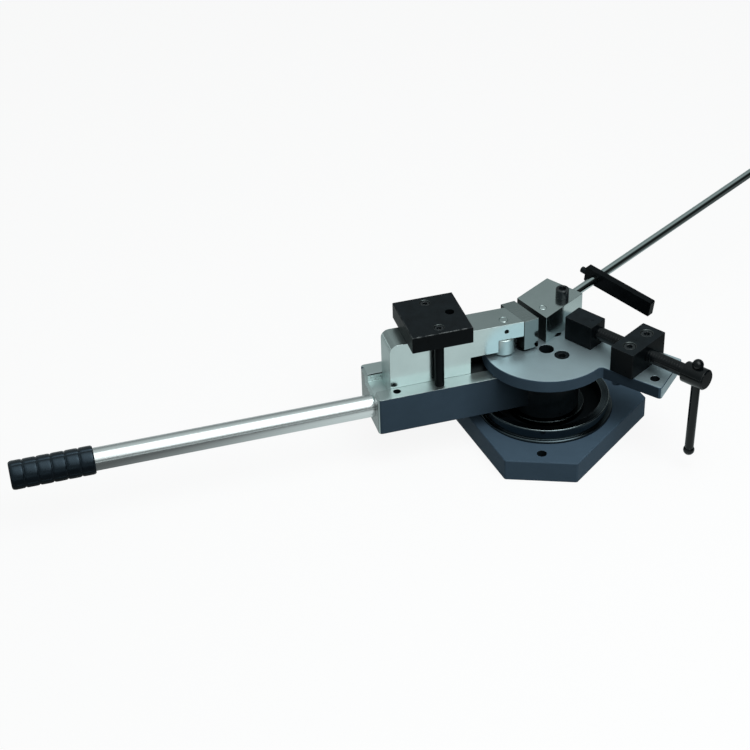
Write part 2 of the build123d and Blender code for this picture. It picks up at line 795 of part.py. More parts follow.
# Swing arm: hub, bar and the groove for the slide
tube_end = Plane(origin=arm_spot(arm_reach, tube_o, tube_z), x_dir=arm_side, z_dir=arm_way)
with BuildPart() as swing_arm:
    with BuildSketch(arm_plane.offset(arm_low)):
        with BuildLine():
            Polyline(
                (0, arm_front),
                (arm_reach, arm_front),
                (arm_reach, arm_back),
                (arm_taper_start, arm_back),
                (arm_heel_t, -hub_dia / 2 + arm_heel_inset),
                close=True,
            )
        make_face()
    extrude(amount=arm_height)
    fillet(
        swing_arm.edges()
        .filter_by(Axis.Z)
        .sort_by_distance(arm_spot(arm_reach, arm_front, arm_low))[0],
        radius=arm_corner_round,
    )
    fillet(
        swing_arm.edges()
        .filter_by(Axis.Z)
        .sort_by_distance(arm_spot(arm_reach, arm_back, arm_low))[0],
        radius=arm_corner_round,
    )
    with BuildSketch(arm_plane.offset(hub_high)):
        Circle(hub_dia / 2 + flange_clear)
    extrude(amount=rail_top - hub_high, mode=Mode.SUBTRACT)
    with BuildSketch(arm_plane.offset(groove_floor)):
        with Locations((arm_reach / 2, slide_mid)):
            Rectangle(arm_reach + cut_over, slide_width + 2 * slide_side_gap)
    extrude(amount=groove_depth, mode=Mode.SUBTRACT)
    with BuildSketch(arm_plane.offset(collar_top)):
        Circle(hub_dia / 2)
    extrude(amount=hub_height)
    with BuildSketch(arm_plane.offset(collar_top)):
        Circle(shaft_dia / 2 + bush_wall + press_gap)
    extrude(amount=hub_height, mode=Mode.SUBTRACT)
    with BuildSketch(tube_end):
        Circle(tube_spigot_dia / 2 + press_gap)
    extrude(amount=-tube_insert, mode=Mode.SUBTRACT)
    with BuildSketch(arm_plane.offset(arm_low)):
        with Locations((arm_reach - tube_insert / 2, tube_o)):
            Circle(set_screw_dia / 2 + press_gap)
    extrude(amount=tube_rise, mode=Mode.SUBTRACT)
    with BuildSketch(arm_plane.offset(rail_top)):
        with Locations((post_t, post_front_o), (post_t, post_back_o)):
            Circle(bridge_screw_dia / 2 + press_gap)
    extrude(amount=-(bridge_screw_reach + 1), mode=Mode.SUBTRACT)
    with BuildSketch(arm_plane.offset(rail_top)):
        with Locations((arm_reach - rail_hole_inset, rail_front_mid - rail_hole_shift)):
            Circle(rail_hole_dia / 2)
    extrude(amount=-rail_hole_depth, mode=Mode.SUBTRACT)
swing_arm.part.label = "swing_arm"
export_step(swing_arm.part, "parts/swing_arm.step")

# Bronze bushes in the arm's hub
with BuildPart() as arm_bushes:
    with BuildSketch(Plane.XY.offset(collar_top + bush_sink)):
        Circle(shaft_dia / 2 + bush_wall)
        Circle(shaft_dia / 2 + run_gap, mode=Mode.SUBTRACT)
    extrude(amount=bush_length)
    with BuildSketch(Plane.XY.offset(hub_high - bush_sink)):
        Circle(shaft_dia / 2 + bush_wall)
        Circle(shaft_dia / 2 + run_gap, mode=Mode.SUBTRACT)
    extrude(amount=-bush_length)
arm_bushes.part.label = "arm_bushes"
export_step(arm_bushes.part, "parts/arm_bushes.step")

# Handle tube, closed by a spigot whose shoulder sits on the arm's end
with BuildPart() as handle_tube:
    with BuildSketch(tube_end):
        Circle(tube_dia / 2)
    extrude(amount=tube_out)
    with BuildSketch(tube_end):
        Circle(tube_spigot_dia / 2)
    extrude(amount=-(tube_insert - open_gap))
    with BuildSketch(tube_end.offset(tube_plug)):
        Circle(tube_dia / 2 - tube_wall)
    extrude(amount=tube_out - tube_plug, mode=Mode.SUBTRACT)
handle_tube.part.label = "handle_tube"
export_step(handle_tube.part, "parts/handle_tube.step")

# Set screw that holds the tube, from below
with BuildPart() as handle_set_screw:
    with BuildSketch(arm_plane.offset(arm_low + end_room)):
        with Locations((arm_reach - tube_insert / 2, tube_o)):
            Circle(set_screw_dia / 2)
    extrude(amount=tube_rise - tube_spigot_dia / 2 - end_room - slide_gap)
    with BuildSketch(arm_plane.offset(arm_low + end_room)):
        with Locations((arm_reach - tube_insert / 2, tube_o)):
            RegularPolygon(set_screw_dia * grub_socket_ratio, 6, major_radius=False)
    extrude(amount=set_screw_dia * socket_depth_ratio, mode=Mode.SUBTRACT)
handle_set_screw.part.label = "handle_set_screw"
export_step(handle_set_screw.part, "parts/handle_set_screw.step")

# Rubber grip with ring grooves and a closed end
grip_pitch = grip_length / (grip_rings + 1)
with BuildPart() as handle_grip:
    with BuildSketch(tube_end.offset(grip_start_t - arm_reach)):
        Circle(grip_dia / 2)
    extrude(amount=grip_length)
    fillet(
        handle_grip.edges()
        .filter_by(GeomType.CIRCLE)
        .sort_by_distance(arm_spot(grip_end_t + grip_length, tube_o, tube_z))[0],
        radius=grip_end_round,
    )
    fillet(
        handle_grip.edges()
        .filter_by(GeomType.CIRCLE)
        .sort_by_distance(arm_spot(grip_start_t - grip_length, tube_o, tube_z))[0],
        radius=grip_lip_round,
    )
    with BuildSketch(tube_end.offset(grip_start_t - arm_reach)):
        Circle(tube_dia / 2 + press_gap)
    extrude(amount=grip_length - grip_cap, mode=Mode.SUBTRACT)
    for ring in range(grip_rings):
        with BuildSketch(
            tube_end.offset(
                grip_start_t - arm_reach + (ring + 1) * grip_pitch - grip_ring_width / 2
            )
        ):
            Circle(grip_dia / 2 + cut_over)
            Circle(grip_dia / 2 - grip_ring_depth, mode=Mode.SUBTRACT)
        extrude(amount=grip_ring_width, mode=Mode.SUBTRACT)
handle_grip.part.label = "handle_grip"
export_step(handle_grip.part, "parts/handle_grip.step")

# Bending jaw corners in the arm's frame: d front inner, a back inner, c front outer, b back outer
bend_along = (sin(radians(bend_slant)), -cos(radians(bend_slant)))
bend_out = (-cos(radians(bend_slant)), -sin(radians(bend_slant)))
bend_end = bend_thick / cos(radians(bend_slant - bend_skew))
bend_step = (-cos(radians(bend_skew)) * bend_end, -sin(radians(bend_skew)) * bend_end)
corner_d = (bend_t, slide_front + bend_lead)
corner_a = (corner_d[0] + bend_along[0] * bend_length, corner_d[1] + bend_along[1] * bend_length)
corner_c = (corner_d[0] + bend_step[0], corner_d[1] + bend_step[1])
corner_b = (corner_a[0] + bend_step[0], corner_a[1] + bend_step[1])
nose_front_t = bend_t + bend_lead * tan(radians(bend_slant))
nose_back_t = nose_front_t + slide_width * tan(radians(bend_slant))
bend_screw_z = (pocket_roof + slide_top) / 2
bend_out_way = arm_way * bend_out[0] + arm_side * bend_out[1]


def bend_face(along, out):
    # A plane square to the working face, at a distance along it and out from the slide's end.
    t = corner_d[0] + bend_along[0] * along + bend_out[0] * out
    o = corner_d[1] + bend_along[1] * along + bend_out[1] * out
    return Plane(origin=arm_spot(t, o, bend_screw_z), x_dir=(0, 0, 1), z_dir=bend_out_way)


# Slide: stepped block with the roller's pocket and the slanted nose
with BuildPart() as slide_block:
    with BuildSketch(arm_plane.offset(groove_floor)):
        with Locations(((slide_step_t + slide_outer_t) / 2, slide_mid)):
            Rectangle(slide_outer_t - slide_step_t, slide_width)
    extrude(amount=slide_top - groove_floor)
    with BuildSketch(arm_plane.offset(nose_low)):
        with BuildLine():
            Polyline(
                (slide_step_t + end_room, slide_front),
                (nose_front_t, slide_front),
                (nose_back_t, slide_back),
                (slide_step_t + end_room, slide_back),
                close=True,
            )
        make_face()
    extrude(amount=slide_top - nose_low)
    fillet(
        slide_block.edges().sort_by_distance(arm_spot(slide_outer_t, slide_mid, slide_top))[0],
        radius=slide_round,
    )
    with BuildSketch(arm_plane.offset(nose_low)):
        with Locations((roller_t, roller_o)):
            Circle(roller_dia / 2 + roller_room)
        with BuildLine():
            Polyline(
                (nose_front_t - cut_over, roller_o),
                (roller_t + pocket_open, roller_o),
                (roller_t + pocket_open, slide_front + cut_over),
                (nose_front_t - cut_over, slide_front + cut_over),
                close=True,
            )
        make_face()
    extrude(amount=pocket_roof - nose_low, mode=Mode.SUBTRACT)
    with BuildSketch(arm_plane.offset(pocket_roof)):
        with Locations((roller_t, roller_o)):
            Circle(roller_pin_dia / 2 + press_gap)
    extrude(amount=roof_thick, mode=Mode.SUBTRACT)
    with BuildSketch(
        Plane(
            origin=arm_spot(roller_t, slide_front, slide_top - grub_drop),
            x_dir=arm_way,
            z_dir=arm_side,
        )
    ):
        Circle(grub_dia / 2 + press_gap)
    extrude(amount=-roller_inset, mode=Mode.SUBTRACT)
    with BuildSketch(bend_face(bend_screw_front, 0)):
        Circle(bend_screw_dia / 2 + press_gap)
    extrude(amount=-(bend_screw_reach + bolt_gap), mode=Mode.SUBTRACT)
    with BuildSketch(bend_face(bend_screw_back, 0)):
        Circle(bend_screw_dia / 2 + press_gap)
    extrude(amount=-(bend_screw_reach + bolt_gap), mode=Mode.SUBTRACT)
slide_block.part.label = "slide_block"
export_step(slide_block.part, "parts/slide_block.step")

# Bending jaw on the slanted end of the slide
bend_head_dia = bend_screw_dia * head_ratio + end_room
bend_head = bend_screw_dia
with BuildPart() as bending_jaw:
    with BuildSketch(arm_plane.offset(bend_low)):
        with BuildLine():
            Polyline(corner_a, corner_b, corner_c, corner_d, close=True)
        make_face()
    extrude(amount=slide_top - bend_low)
    with BuildSketch(bend_face(bend_screw_front, bend_thick)):
        Circle(bend_screw_dia / 2 + open_gap)
    extrude(amount=-bend_thick, mode=Mode.SUBTRACT)
    with BuildSketch(bend_face(bend_screw_back, bend_thick)):
        Circle(bend_screw_dia / 2 + open_gap)
    extrude(amount=-bend_thick, mode=Mode.SUBTRACT)
    with BuildSketch(bend_face(bend_screw_front, bend_thick)):
        Circle(bend_head_dia / 2 + bolt_gap)
    extrude(amount=-(bend_head + end_room), mode=Mode.SUBTRACT)
    with BuildSketch(bend_face(bend_screw_back, bend_thick)):
        Circle(bend_head_dia / 2 + bolt_gap)
    extrude(amount=-(bend_head + end_room), mode=Mode.SUBTRACT)
bending_jaw.part.label = "bending_jaw"
export_step(bending_jaw.part, "parts/bending_jaw.step")

# Screws that hold the bending jaw
bend_seat = bend_thick - bend_head - end_room
with BuildPart() as bending_jaw_screws:
    with BuildSketch(bend_face(bend_screw_front, bend_seat)):
        Circle(bend_head_dia / 2)
    extrude(amount=bend_head)
    with BuildSketch(bend_face(bend_screw_back, bend_seat)):
        Circle(bend_head_dia / 2)
    extrude(amount=bend_head)
    with BuildSketch(bend_face(bend_screw_front, bend_seat)):
        Circle(bend_screw_dia / 2)
    extrude(amount=-(bend_seat + bend_screw_reach))
    with BuildSketch(bend_face(bend_screw_back, bend_seat)):
        Circle(bend_screw_dia / 2)
    extrude(amount=-(bend_seat + bend_screw_reach))
    with BuildSketch(bend_face(bend_screw_front, bend_seat + bend_head)):
        RegularPolygon(bend_screw_dia * socket_ratio / 2, 6, major_radius=False)
    extrude(amount=-bend_head * socket_depth_ratio, mode=Mode.SUBTRACT)
    with BuildSketch(bend_face(bend_screw_back, bend_seat + bend_head)):
        RegularPolygon(bend_screw_dia * socket_ratio / 2, 6, major_radius=False)
    extrude(amount=-bend_head * socket_depth_ratio, mode=Mode.SUBTRACT)
bending_jaw_screws.part.label = "bending_jaw_screws"
export_step(bending_jaw_screws.part, "parts/bending_jaw_screws.step")

# Roller in the pocket
roller_low = table_top + roller_ride
roller_high = pocket_roof - roller_clear
with BuildPart() as bending_roller:
    with BuildSketch(arm_plane.offset(roller_low)):
        with Locations((roller_t, roller_o)):
            Circle(roller_dia / 2)
    extrude(amount=roller_high - roller_low)
    chamfer(bending_roller.edges(), length=fine_break)
    with BuildSketch(arm_plane.offset(roller_low)):
        with Locations((roller_t, roller_o)):
            Circle(roller_pin_dia / 2 + run_gap)
    extrude(amount=roller_high - roller_low, mode=Mode.SUBTRACT)
    with BuildSketch(arm_plane.offset(roller_low)):
        with Locations((roller_t, roller_o)):
            Circle(roller_pin_head_dia / 2 + open_gap)
    extrude(amount=roller_pin_head + roller_clear, mode=Mode.SUBTRACT)
bending_roller.part.label = "bending_roller"
export_step(bending_roller.part, "parts/bending_roller.step")

# Headed pin of the roller, flush with the slide's top, its edge broken
with BuildPart() as roller_pin:
    with BuildSketch(arm_plane.offset(roller_low)):
        with Locations((roller_t, roller_o)):
            Circle(roller_pin_head_dia / 2)
    extrude(amount=roller_pin_head)
    with BuildSketch(arm_plane.offset(roller_low)):
        with Locations((roller_t, roller_o)):
            Circle(roller_pin_dia / 2)
    extrude(amount=slide_top - roller_low)
    chamfer(roller_pin.faces().sort_by(Axis.Z)[-1].edges(), length=fine_break)
roller_pin.part.label = "roller_pin"
export_step(roller_pin.part, "parts/roller_pin.step")

# Grub screw that locks the roller's pin
with BuildPart() as roller_grub_screw:
    with BuildSketch(
        Plane(
            origin=arm_spot(
                roller_t, roller_o + roller_pin_dia / 2 + open_gap, slide_top - grub_drop
            ),
            x_dir=arm_way,
            z_dir=arm_side,
        )
    ):
        Circle(grub_dia / 2)
    extrude(amount=roller_inset - roller_pin_dia / 2 - open_gap - 3)
roller_grub_screw.part.label = "roller_grub_screw"
export_step(roller_grub_screw.part, "parts/roller_grub_screw.step")

# Bridge plate over the slide
bridge_mid = bridge_front - bridge_width / 2
bridge_bore_floor = bridge_thick - bridge_screw_dia - end_room
with BuildPart() as bridge_plate:
    with BuildSketch(arm_plane.offset(bridge_low)):
        with Locations((bridge_t, bridge_mid)):
            Rectangle(bridge_length, bridge_width)
    extrude(amount=bridge_thick)
    chamfer(bridge_plate.faces().sort_by(Axis.Z)[-1].edges(), length=bridge_edge_break)
    with BuildSketch(arm_plane.offset(bridge_low)):
        with Locations((post_t, post_front_o), (post_t, post_back_o)):
            Circle(bridge_screw_dia / 2 + bolt_gap)
        with Locations((plate_hole_t, plate_hole_o)):
            Circle(plate_hole_dia / 2)
    extrude(amount=bridge_thick, mode=Mode.SUBTRACT)
    with BuildSketch(arm_plane.offset(bridge_low + bridge_bore_floor)):
        with Locations((post_t, post_front_o), (post_t, post_back_o)):
            Circle(bridge_screw_dia * head_ratio / 2 + bolt_gap)
    extrude(amount=bridge_thick, mode=Mode.SUBTRACT)
bridge_plate.part.label = "bridge_plate"
export_step(bridge_plate.part, "parts/bridge_plate.step")

# Tube posts between the rails and the bridge
with BuildPart() as bridge_posts:
    with BuildSketch(arm_plane.offset(rail_top)):
        with Locations((post_t, post_front_o), (post_t, post_back_o)):
            Circle(post_dia / 2)
            Circle(bridge_screw_dia / 2 + bolt_gap, mode=Mode.SUBTRACT)
    extrude(amount=bridge_low - rail_top)
bridge_posts.part.label = "bridge_posts"
export_step(bridge_posts.part, "parts/bridge_posts.step")

# Long screws through the bridge and the posts
with BuildPart() as bridge_screws:
    with BuildSketch(arm_plane.offset(bridge_low + bridge_bore_floor)):
        with Locations((post_t, post_front_o), (post_t, post_back_o)):
            Circle(bridge_screw_dia * head_ratio / 2)
    extrude(amount=bridge_screw_dia)
    with BuildSketch(arm_plane.offset(rail_top - bridge_screw_reach)):
        with Locations((post_t, post_front_o), (post_t, post_back_o)):
            Circle(bridge_screw_dia / 2)
    extrude(amount=bridge_low + bridge_bore_floor - rail_top + bridge_screw_reach)
    with BuildSketch(arm_plane.offset(bridge_low + bridge_bore_floor + bridge_screw_dia)):
        with Locations((post_t, post_front_o), (post_t, post_back_o)):
            RegularPolygon(bridge_screw_dia * socket_ratio / 2, 6, major_radius=False)
    extrude(amount=-bridge_screw_dia * socket_depth_ratio, mode=Mode.SUBTRACT)
bridge_screws.part.label = "bridge_screws"
export_step(bridge_screws.part, "parts/bridge_screws.step")
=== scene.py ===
import json
from functools import partial
from math import cos, exp, radians, sin

import bmesh
import bpy
from bpy.props import FloatProperty, FloatVectorProperty, IntProperty, PointerProperty
from mathutils import Matrix, Vector

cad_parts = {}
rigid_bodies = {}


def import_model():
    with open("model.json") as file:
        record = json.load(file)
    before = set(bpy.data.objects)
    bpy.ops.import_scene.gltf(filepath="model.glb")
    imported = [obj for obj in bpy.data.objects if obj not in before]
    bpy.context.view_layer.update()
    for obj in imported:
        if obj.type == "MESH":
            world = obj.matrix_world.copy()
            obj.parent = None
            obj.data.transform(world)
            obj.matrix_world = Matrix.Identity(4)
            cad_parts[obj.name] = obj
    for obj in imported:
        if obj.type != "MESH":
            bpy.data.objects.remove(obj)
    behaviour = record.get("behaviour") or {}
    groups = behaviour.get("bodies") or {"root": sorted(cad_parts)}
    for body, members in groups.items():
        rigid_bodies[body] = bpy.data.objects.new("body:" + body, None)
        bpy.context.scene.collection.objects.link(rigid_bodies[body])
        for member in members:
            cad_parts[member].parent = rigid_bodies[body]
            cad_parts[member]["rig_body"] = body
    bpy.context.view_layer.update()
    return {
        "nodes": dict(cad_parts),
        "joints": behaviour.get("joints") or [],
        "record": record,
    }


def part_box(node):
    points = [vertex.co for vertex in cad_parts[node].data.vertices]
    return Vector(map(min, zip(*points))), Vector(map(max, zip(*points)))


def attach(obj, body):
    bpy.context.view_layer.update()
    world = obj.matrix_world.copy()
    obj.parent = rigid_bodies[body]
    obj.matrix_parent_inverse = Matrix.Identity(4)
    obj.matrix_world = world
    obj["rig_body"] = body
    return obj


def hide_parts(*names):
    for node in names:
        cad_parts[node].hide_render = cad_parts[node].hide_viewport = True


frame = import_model()

bl_info = {
    "name": "Lever bender",
    "version": (1, 0, 0),
    "blender": (4, 5, 0),
    "location": "View3D > Sidebar > Bender",
    "description": "Dresses a bench bender with its finishes and sets it on a studio floor",
    "category": "Object",
}

# Directions of the object: the arm points along arm_way, its front side faces arm_side
arm_joint = next(j for j in frame["joints"] if j["name"] == "slide_feed")
arm_way = Vector(arm_joint["axis"])
arm_side = Vector((-arm_way.y, arm_way.x, 0.0))

# Turns about Z, in degrees, of the arm, the table's ear and the stop rod
arm_turn = 238.45
ear_turn = 6.0
rod_turn = 90.0

# Places on the arm and the table in metres, across the arm from the pivot along arm_side
rail_height = 0.0125
groove_sides = (-0.045, 0.015)
back_wall_sides = (-0.036, -0.033)
hub_reach = 0.047
table_rim = 0.08

# Painted shade in the groove under the table: its near and far distance from the pivot, and how
# much of the bare colour the near end keeps
groove_shade = (0.112, 0.165, 0.04)

# Tolerances of the meshes in metres
touch = 0.0001
merge_reach = 1e-6

# A full turn in radians
full_turn = radians(360.0)

# Outlines of a pad's end and of the grip's tip: steps along the handle, drops below the radius
pad_end = ((0.0004, 0.0012), (0.0011, 0.0004), (0.0026, 0.0001), (0.005, 0.0))
grip_tip = ((0.005, 0.0), (0.0026, 0.0004), (0.001, 0.0013), (0.0003, 0.0026), (0.0, 0.0045))

# Softboxes over the object: name, place, width and length, power
softboxes = (
    ("key_box", (0.81, -0.35, 1.9), (1.9, 3.1), 21.0),
    ("core_box", (0.68, -0.2, 1.6), (0.7, 1.1), 6.0),
)
softbox_target = (0.0, -0.1, 0.1)
softbox_colour = (0.94, 1.0, 1.0)

# Floor and backdrop as the camera sees them
white = (1.0, 1.0, 1.0)

# Sockets of a colour Mix node
mix_factor, mix_first, mix_second, mix_result = 0, 6, 7, 2

# Range that holds most of a noise
noise_middle = (0.3, 0.7)


class BenderFinish(bpy.types.PropertyGroup):
    """Colours of the finishes"""

    slate: FloatVectorProperty(
        name="Slate paint", description="Paint of the base and the arm's sides",
        subtype="COLOR", size=3, min=0.0, max=1.0, default=(0.073, 0.114, 0.16),
    )
    steel: FloatVectorProperty(
        name="Ground steel", description="Bare ground steel",
        subtype="COLOR", size=3, min=0.0, max=1.0, default=(0.56, 0.64, 0.635),
    )
    table: FloatVectorProperty(
        name="Table steel", description="Bare steel of the table, cooler in tone",
        subtype="COLOR", size=3, min=0.0, max=1.0, default=(0.56, 0.68, 0.73),
    )
    ring: FloatVectorProperty(
        name="Guard ring", description="Dark turned steel of the guard ring",
        subtype="COLOR", size=3, min=0.0, max=1.0, default=(0.07, 0.09, 0.1),
    )
    # The thrust ring's near-black colour is painted shade in the dish under the table
    thrust: FloatVectorProperty(
        name="Thrust ring", description="Oiled steel of the lower thrust ring",
        subtype="COLOR", size=3, min=0.0, max=1.0, default=(0.014, 0.019, 0.022),
    )
    black: FloatVectorProperty(
        name="Black oxide", description="Blackened steel of the clamp, bridge and stop",
        subtype="COLOR", size=3, min=0.0, max=1.0, default=(0.0095, 0.0135, 0.0165),
    )
    edge: FloatVectorProperty(
        name="Worn edge", description="Bare steel where the black oxide is worn off",
        subtype="COLOR", size=3, min=0.0, max=1.0, default=(0.3, 0.31, 0.31),
    )
    chrome: FloatVectorProperty(
        name="Chrome", description="Plated handle tube",
        subtype="COLOR", size=3, min=0.0, max=1.0, default=(0.78, 0.8, 0.8),
    )
    rubber: FloatVectorProperty(
        name="Rubber", description="Handle grip",
        subtype="COLOR", size=3, min=0.0, max=1.0, default=(0.0024, 0.0038, 0.006),
    )
    rubber_gloss: FloatVectorProperty(
        name="Rubber gloss", description="Cool tone of the light on the handle grip",
        subtype="COLOR", size=3, min=0.0, max=1.0, default=(0.58, 0.8, 1.0),
    )
    bronze: FloatVectorProperty(
        name="Bronze", description="Pivot bushes and thrust washer",
        subtype="COLOR", size=3, min=0.0, max=1.0, default=(0.5, 0.31, 0.12),
    )


class BenderSize(bpy.types.PropertyGroup):
    """Sizes that belong to the finish alone"""

    edge_round: FloatProperty(
        name="Edge round", description="Rounding of the machined edges",
        unit="LENGTH", min=0.0, default=0.0004,
    )
    fine_round: FloatProperty(
        name="Fine round", description="Rounding of the edges of screws and pins",
        unit="LENGTH", min=0.0, default=0.00022,
    )
    sharp_angle: FloatProperty(
        name="Sharp angle", description="Edges that turn more than this are rounded",
        subtype="ANGLE", min=0.0, default=radians(28.0),
    )
    shank_radius: FloatProperty(
        name="Shank radius", description="Radius of the clamp spindle over its thread",
        unit="LENGTH", min=0.001, default=0.009,
    )
    thread_pitch: FloatProperty(
        name="Thread pitch", description="Pitch of the clamp spindle's thread",
        unit="LENGTH", min=0.001, default=0.004,
    )
    thread_depth: FloatProperty(
        name="Thread depth", description="Depth of the clamp spindle's thread",
        unit="LENGTH", min=0.0, default=0.00022,
    )
    rim_chamfer: FloatProperty(
        name="Rim chamfer", description="Chamfer round the mouths of the screw recesses",
        unit="LENGTH", min=0.0, default=0.0008,
    )
    end_chamfer: FloatProperty(
        name="End chamfer", description="Chamfer round the rails and groove at the arm's end",
        unit="LENGTH", min=0.0, default=0.0035,
    )
    # The dark line is painted shade along the top of the groove's back wall
    shade_line: FloatProperty(
        name="Oil line", description="Width of the dark line along the top of the groove's wall",
        unit="LENGTH", min=0.0, default=0.0022,
    )
    pad_rows: IntProperty(
        name="Pad rows", description="Rows of pads along the grip", min=1, default=6,
    )
    pad_columns: IntProperty(
        name="Pad columns", description="Pads round the grip", min=1, default=4,
    )
    pad_groove: FloatProperty(
        name="Pad groove", description="Depth of the grooves between the grip's pads",
        unit="LENGTH", min=0.0, default=0.0012,
    )


class BenderStage(bpy.types.PropertyGroup):
    """Camera and light"""

    camera_place: FloatVectorProperty(
        name="Camera place", description="Where the camera stands",
        subtype="TRANSLATION", size=3, default=(1.201105, -1.599923, 1.483164),
    )
    camera_forward: FloatVectorProperty(
        name="Camera forward", description="Where the camera looks",
        subtype="DIRECTION", size=3, default=(-0.56349654, 0.59380146, -0.57434439),
    )
    camera_up: FloatVectorProperty(
        name="Camera up", description="Upward direction of the picture",
        subtype="DIRECTION", size=3, default=(-0.36860422, 0.44147, 0.81806795),
    )
    lens: FloatProperty(
        name="Lens", description="Focal length in millimetres", min=1.0, default=86.53,
    )
    floor_size: FloatProperty(
        name="Floor size", description="Half the width of the floor",
        unit="LENGTH", min=0.1, default=6.0,
    )
    tint: FloatVectorProperty(
        name="Light tint", description="Cool tone of the studio as the bare metal shows it",
        subtype="COLOR", size=3, min=0.0, max=1.0, default=(0.88, 1.0, 1.0),
    )
    pool_centre: FloatVectorProperty(
        name="Pool centre", description="Where the floor looks brightest in the bare metal",
        subtype="TRANSLATION", size=3, default=(0.13, -0.08, 0.0),
    )
    pool_reach: FloatProperty(
        name="Pool reach", description="How far from there the bare metal shows the floor dim",
        unit="LENGTH", min=0.1, default=0.57,
    )
    flag_way: FloatVectorProperty(
        name="Dark side", description="Side of the studio that looks dark in the bare metal",
        subtype="DIRECTION", size=3, default=(0.766, 0.643, 0.0),
    )


def settings():
    return bpy.context.scene.bender


# Node helpers
def add_node(tree, kind, **values):
    """Adds a node; values set its own properties, or its inputs by name."""
    made = tree.nodes.new(kind)
    for key, value in values.items():
        if hasattr(made, key):
            setattr(made, key, value)
        else:
            made.inputs[key.replace("_", " ")].default_value = value
    return made


def new_material(name, metallic=0.0):
    material = bpy.data.materials.new(name)
    material.use_nodes = True
    tree = material.node_tree
    shader = tree.nodes["Principled BSDF"]
    shader.inputs["Metallic"].default_value = metallic
    return material, tree, shader


def stretched_noise(tree, stretch, turn=0.0, detail=2.0, roughness=0.5):
    """Noise on Object coordinates, turned about Z and stretched evenly or along its own axes."""
    if isinstance(stretch, float):
        stretch = (stretch, stretch, stretch)
    coords = add_node(tree, "ShaderNodeTexCoord")
    turned = add_node(
        tree, "ShaderNodeMapping", vector_type="POINT", Rotation=(0.0, 0.0, -radians(turn))
    )
    scaled = add_node(tree, "ShaderNodeMapping", vector_type="POINT", Scale=stretch)
    noise = add_node(tree, "ShaderNodeTexNoise", Scale=1.0, Detail=detail, Roughness=roughness)
    tree.links.new(coords.outputs["Object"], turned.inputs["Vector"])
    tree.links.new(turned.outputs["Vector"], scaled.inputs["Vector"])
    tree.links.new(scaled.outputs["Vector"], noise.inputs["Vector"])
    return noise.outputs["Fac"]


def remap(tree, source, low, high, to_low, to_high, blend="LINEAR"):
    """A Map Range node that takes low to to_low and high to to_high."""
    node = add_node(
        tree, "ShaderNodeMapRange", clamp=True, interpolation_type=blend,
        From_Min=low, From_Max=high, To_Min=to_low, To_Max=to_high,
    )
    tree.links.new(source, node.inputs["Value"])
    return node.outputs["Result"]


def blend_colours(tree, factor, first, second):
    """A mix of two colours, each a socket or three numbers."""
    node = add_node(tree, "ShaderNodeMix", data_type="RGBA")
    for index, colour in ((mix_first, first), (mix_second, second)):
        if isinstance(colour, bpy.types.NodeSocket):
            tree.links.new(colour, node.inputs[index])
        else:
            node.inputs[index].default_value = (*colour, 1.0)
    tree.links.new(factor, node.inputs[mix_factor])
    return node.outputs[mix_result]


def calculate(tree, operation, first, second):
    """A Math node of two sockets, or of a socket and a number."""
    node = add_node(tree, "ShaderNodeMath", operation=operation)
    tree.links.new(first, node.inputs[0])
    if isinstance(second, float):
        node.inputs[1].default_value = second
    else:
        tree.links.new(second, node.inputs[1])
    return node.outputs["Value"]


def measure(tree, operation, place, other):
    """A Vector Math node that makes one number of a socket and three numbers."""
    node = add_node(tree, "ShaderNodeVectorMath", operation=operation)
    tree.links.new(place, node.inputs[0])
    node.inputs[1].default_value = other
    return node.outputs["Value"]


def pivot_distance(tree):
    """Distance of a point from the pivot's axis."""
    coords = add_node(tree, "ShaderNodeTexCoord")
    flat = add_node(tree, "ShaderNodeMapping", vector_type="POINT", Scale=(1.0, 1.0, 0.0))
    tree.links.new(coords.outputs["Object"], flat.inputs["Vector"])
    return measure(tree, "DISTANCE", flat.outputs["Vector"], (0.0, 0.0, 0.0))


def shade_towards_pivot(tree, colour, near, far, least=0.0):
    """Turns a colour to black as painted shade, from the far to the near distance of the pivot's
    axis.
    """
    bare = remap(tree, pivot_distance(tree), near, far, least, 1.0)
    return blend_colours(tree, bare, settings().finish.black, colour)


def shade(colour, amount):
    return tuple(min(1.0, c * amount) for c in colour)


def mottle(tree, noise, first, second, middle=noise_middle):
    """Blends two colours in patches."""
    return blend_colours(tree, remap(tree, noise, *middle, 0.0, 1.0), first, second)


def edge_wear(tree, scale, middle, wear):
    """How worn the strips along the edges are, broken up into patches."""
    strips = add_node(tree, "ShaderNodeAttribute", attribute_name="edge")
    patches = remap(tree, stretched_noise(tree, scale, detail=3.0), *middle, *wear)
    return calculate(tree, "MULTIPLY", strips.outputs["Fac"], patches)


def vary_roughness(tree, shader, noise, low, high, middle=noise_middle):
    tree.links.new(remap(tree, noise, *middle, low, high), shader.inputs["Roughness"])


def add_bump(tree, shader, height, strength, distance):
    bump = add_node(tree, "ShaderNodeBump", Strength=strength, Distance=distance)
    tree.links.new(height, bump.inputs["Height"])
    tree.links.new(bump.outputs["Normal"], shader.inputs["Normal"])


# Finishes
def ground_steel(name, turn, roughness=0.2, tint=1.0, colour="steel", pivot_shade=None):
    """Bare steel with fine grinding lines along one turn, darkened towards the pivot as painted
    shade where pivot_shade gives the distances.
    """
    material, tree, shader = new_material(name, metallic=1.0)
    bare = shade(getattr(settings().finish, colour), tint)
    lines = stretched_noise(tree, (14.0, 2600.0, 2600.0), turn, detail=3.0)
    clouds = stretched_noise(tree, 32.0, turn, detail=4.0, roughness=0.6)
    mixed = mottle(tree, clouds, shade(bare, 0.93), bare)
    if pivot_shade:
        mixed = shade_towards_pivot(tree, mixed, *pivot_shade)
    tree.links.new(mixed, shader.inputs["Base Color"])
    vary_roughness(tree, shader, lines, roughness - 0.03, roughness + 0.05, middle=(0.25, 0.75))
    add_bump(tree, shader, lines, strength=0.12, distance=0.00002)
    return material


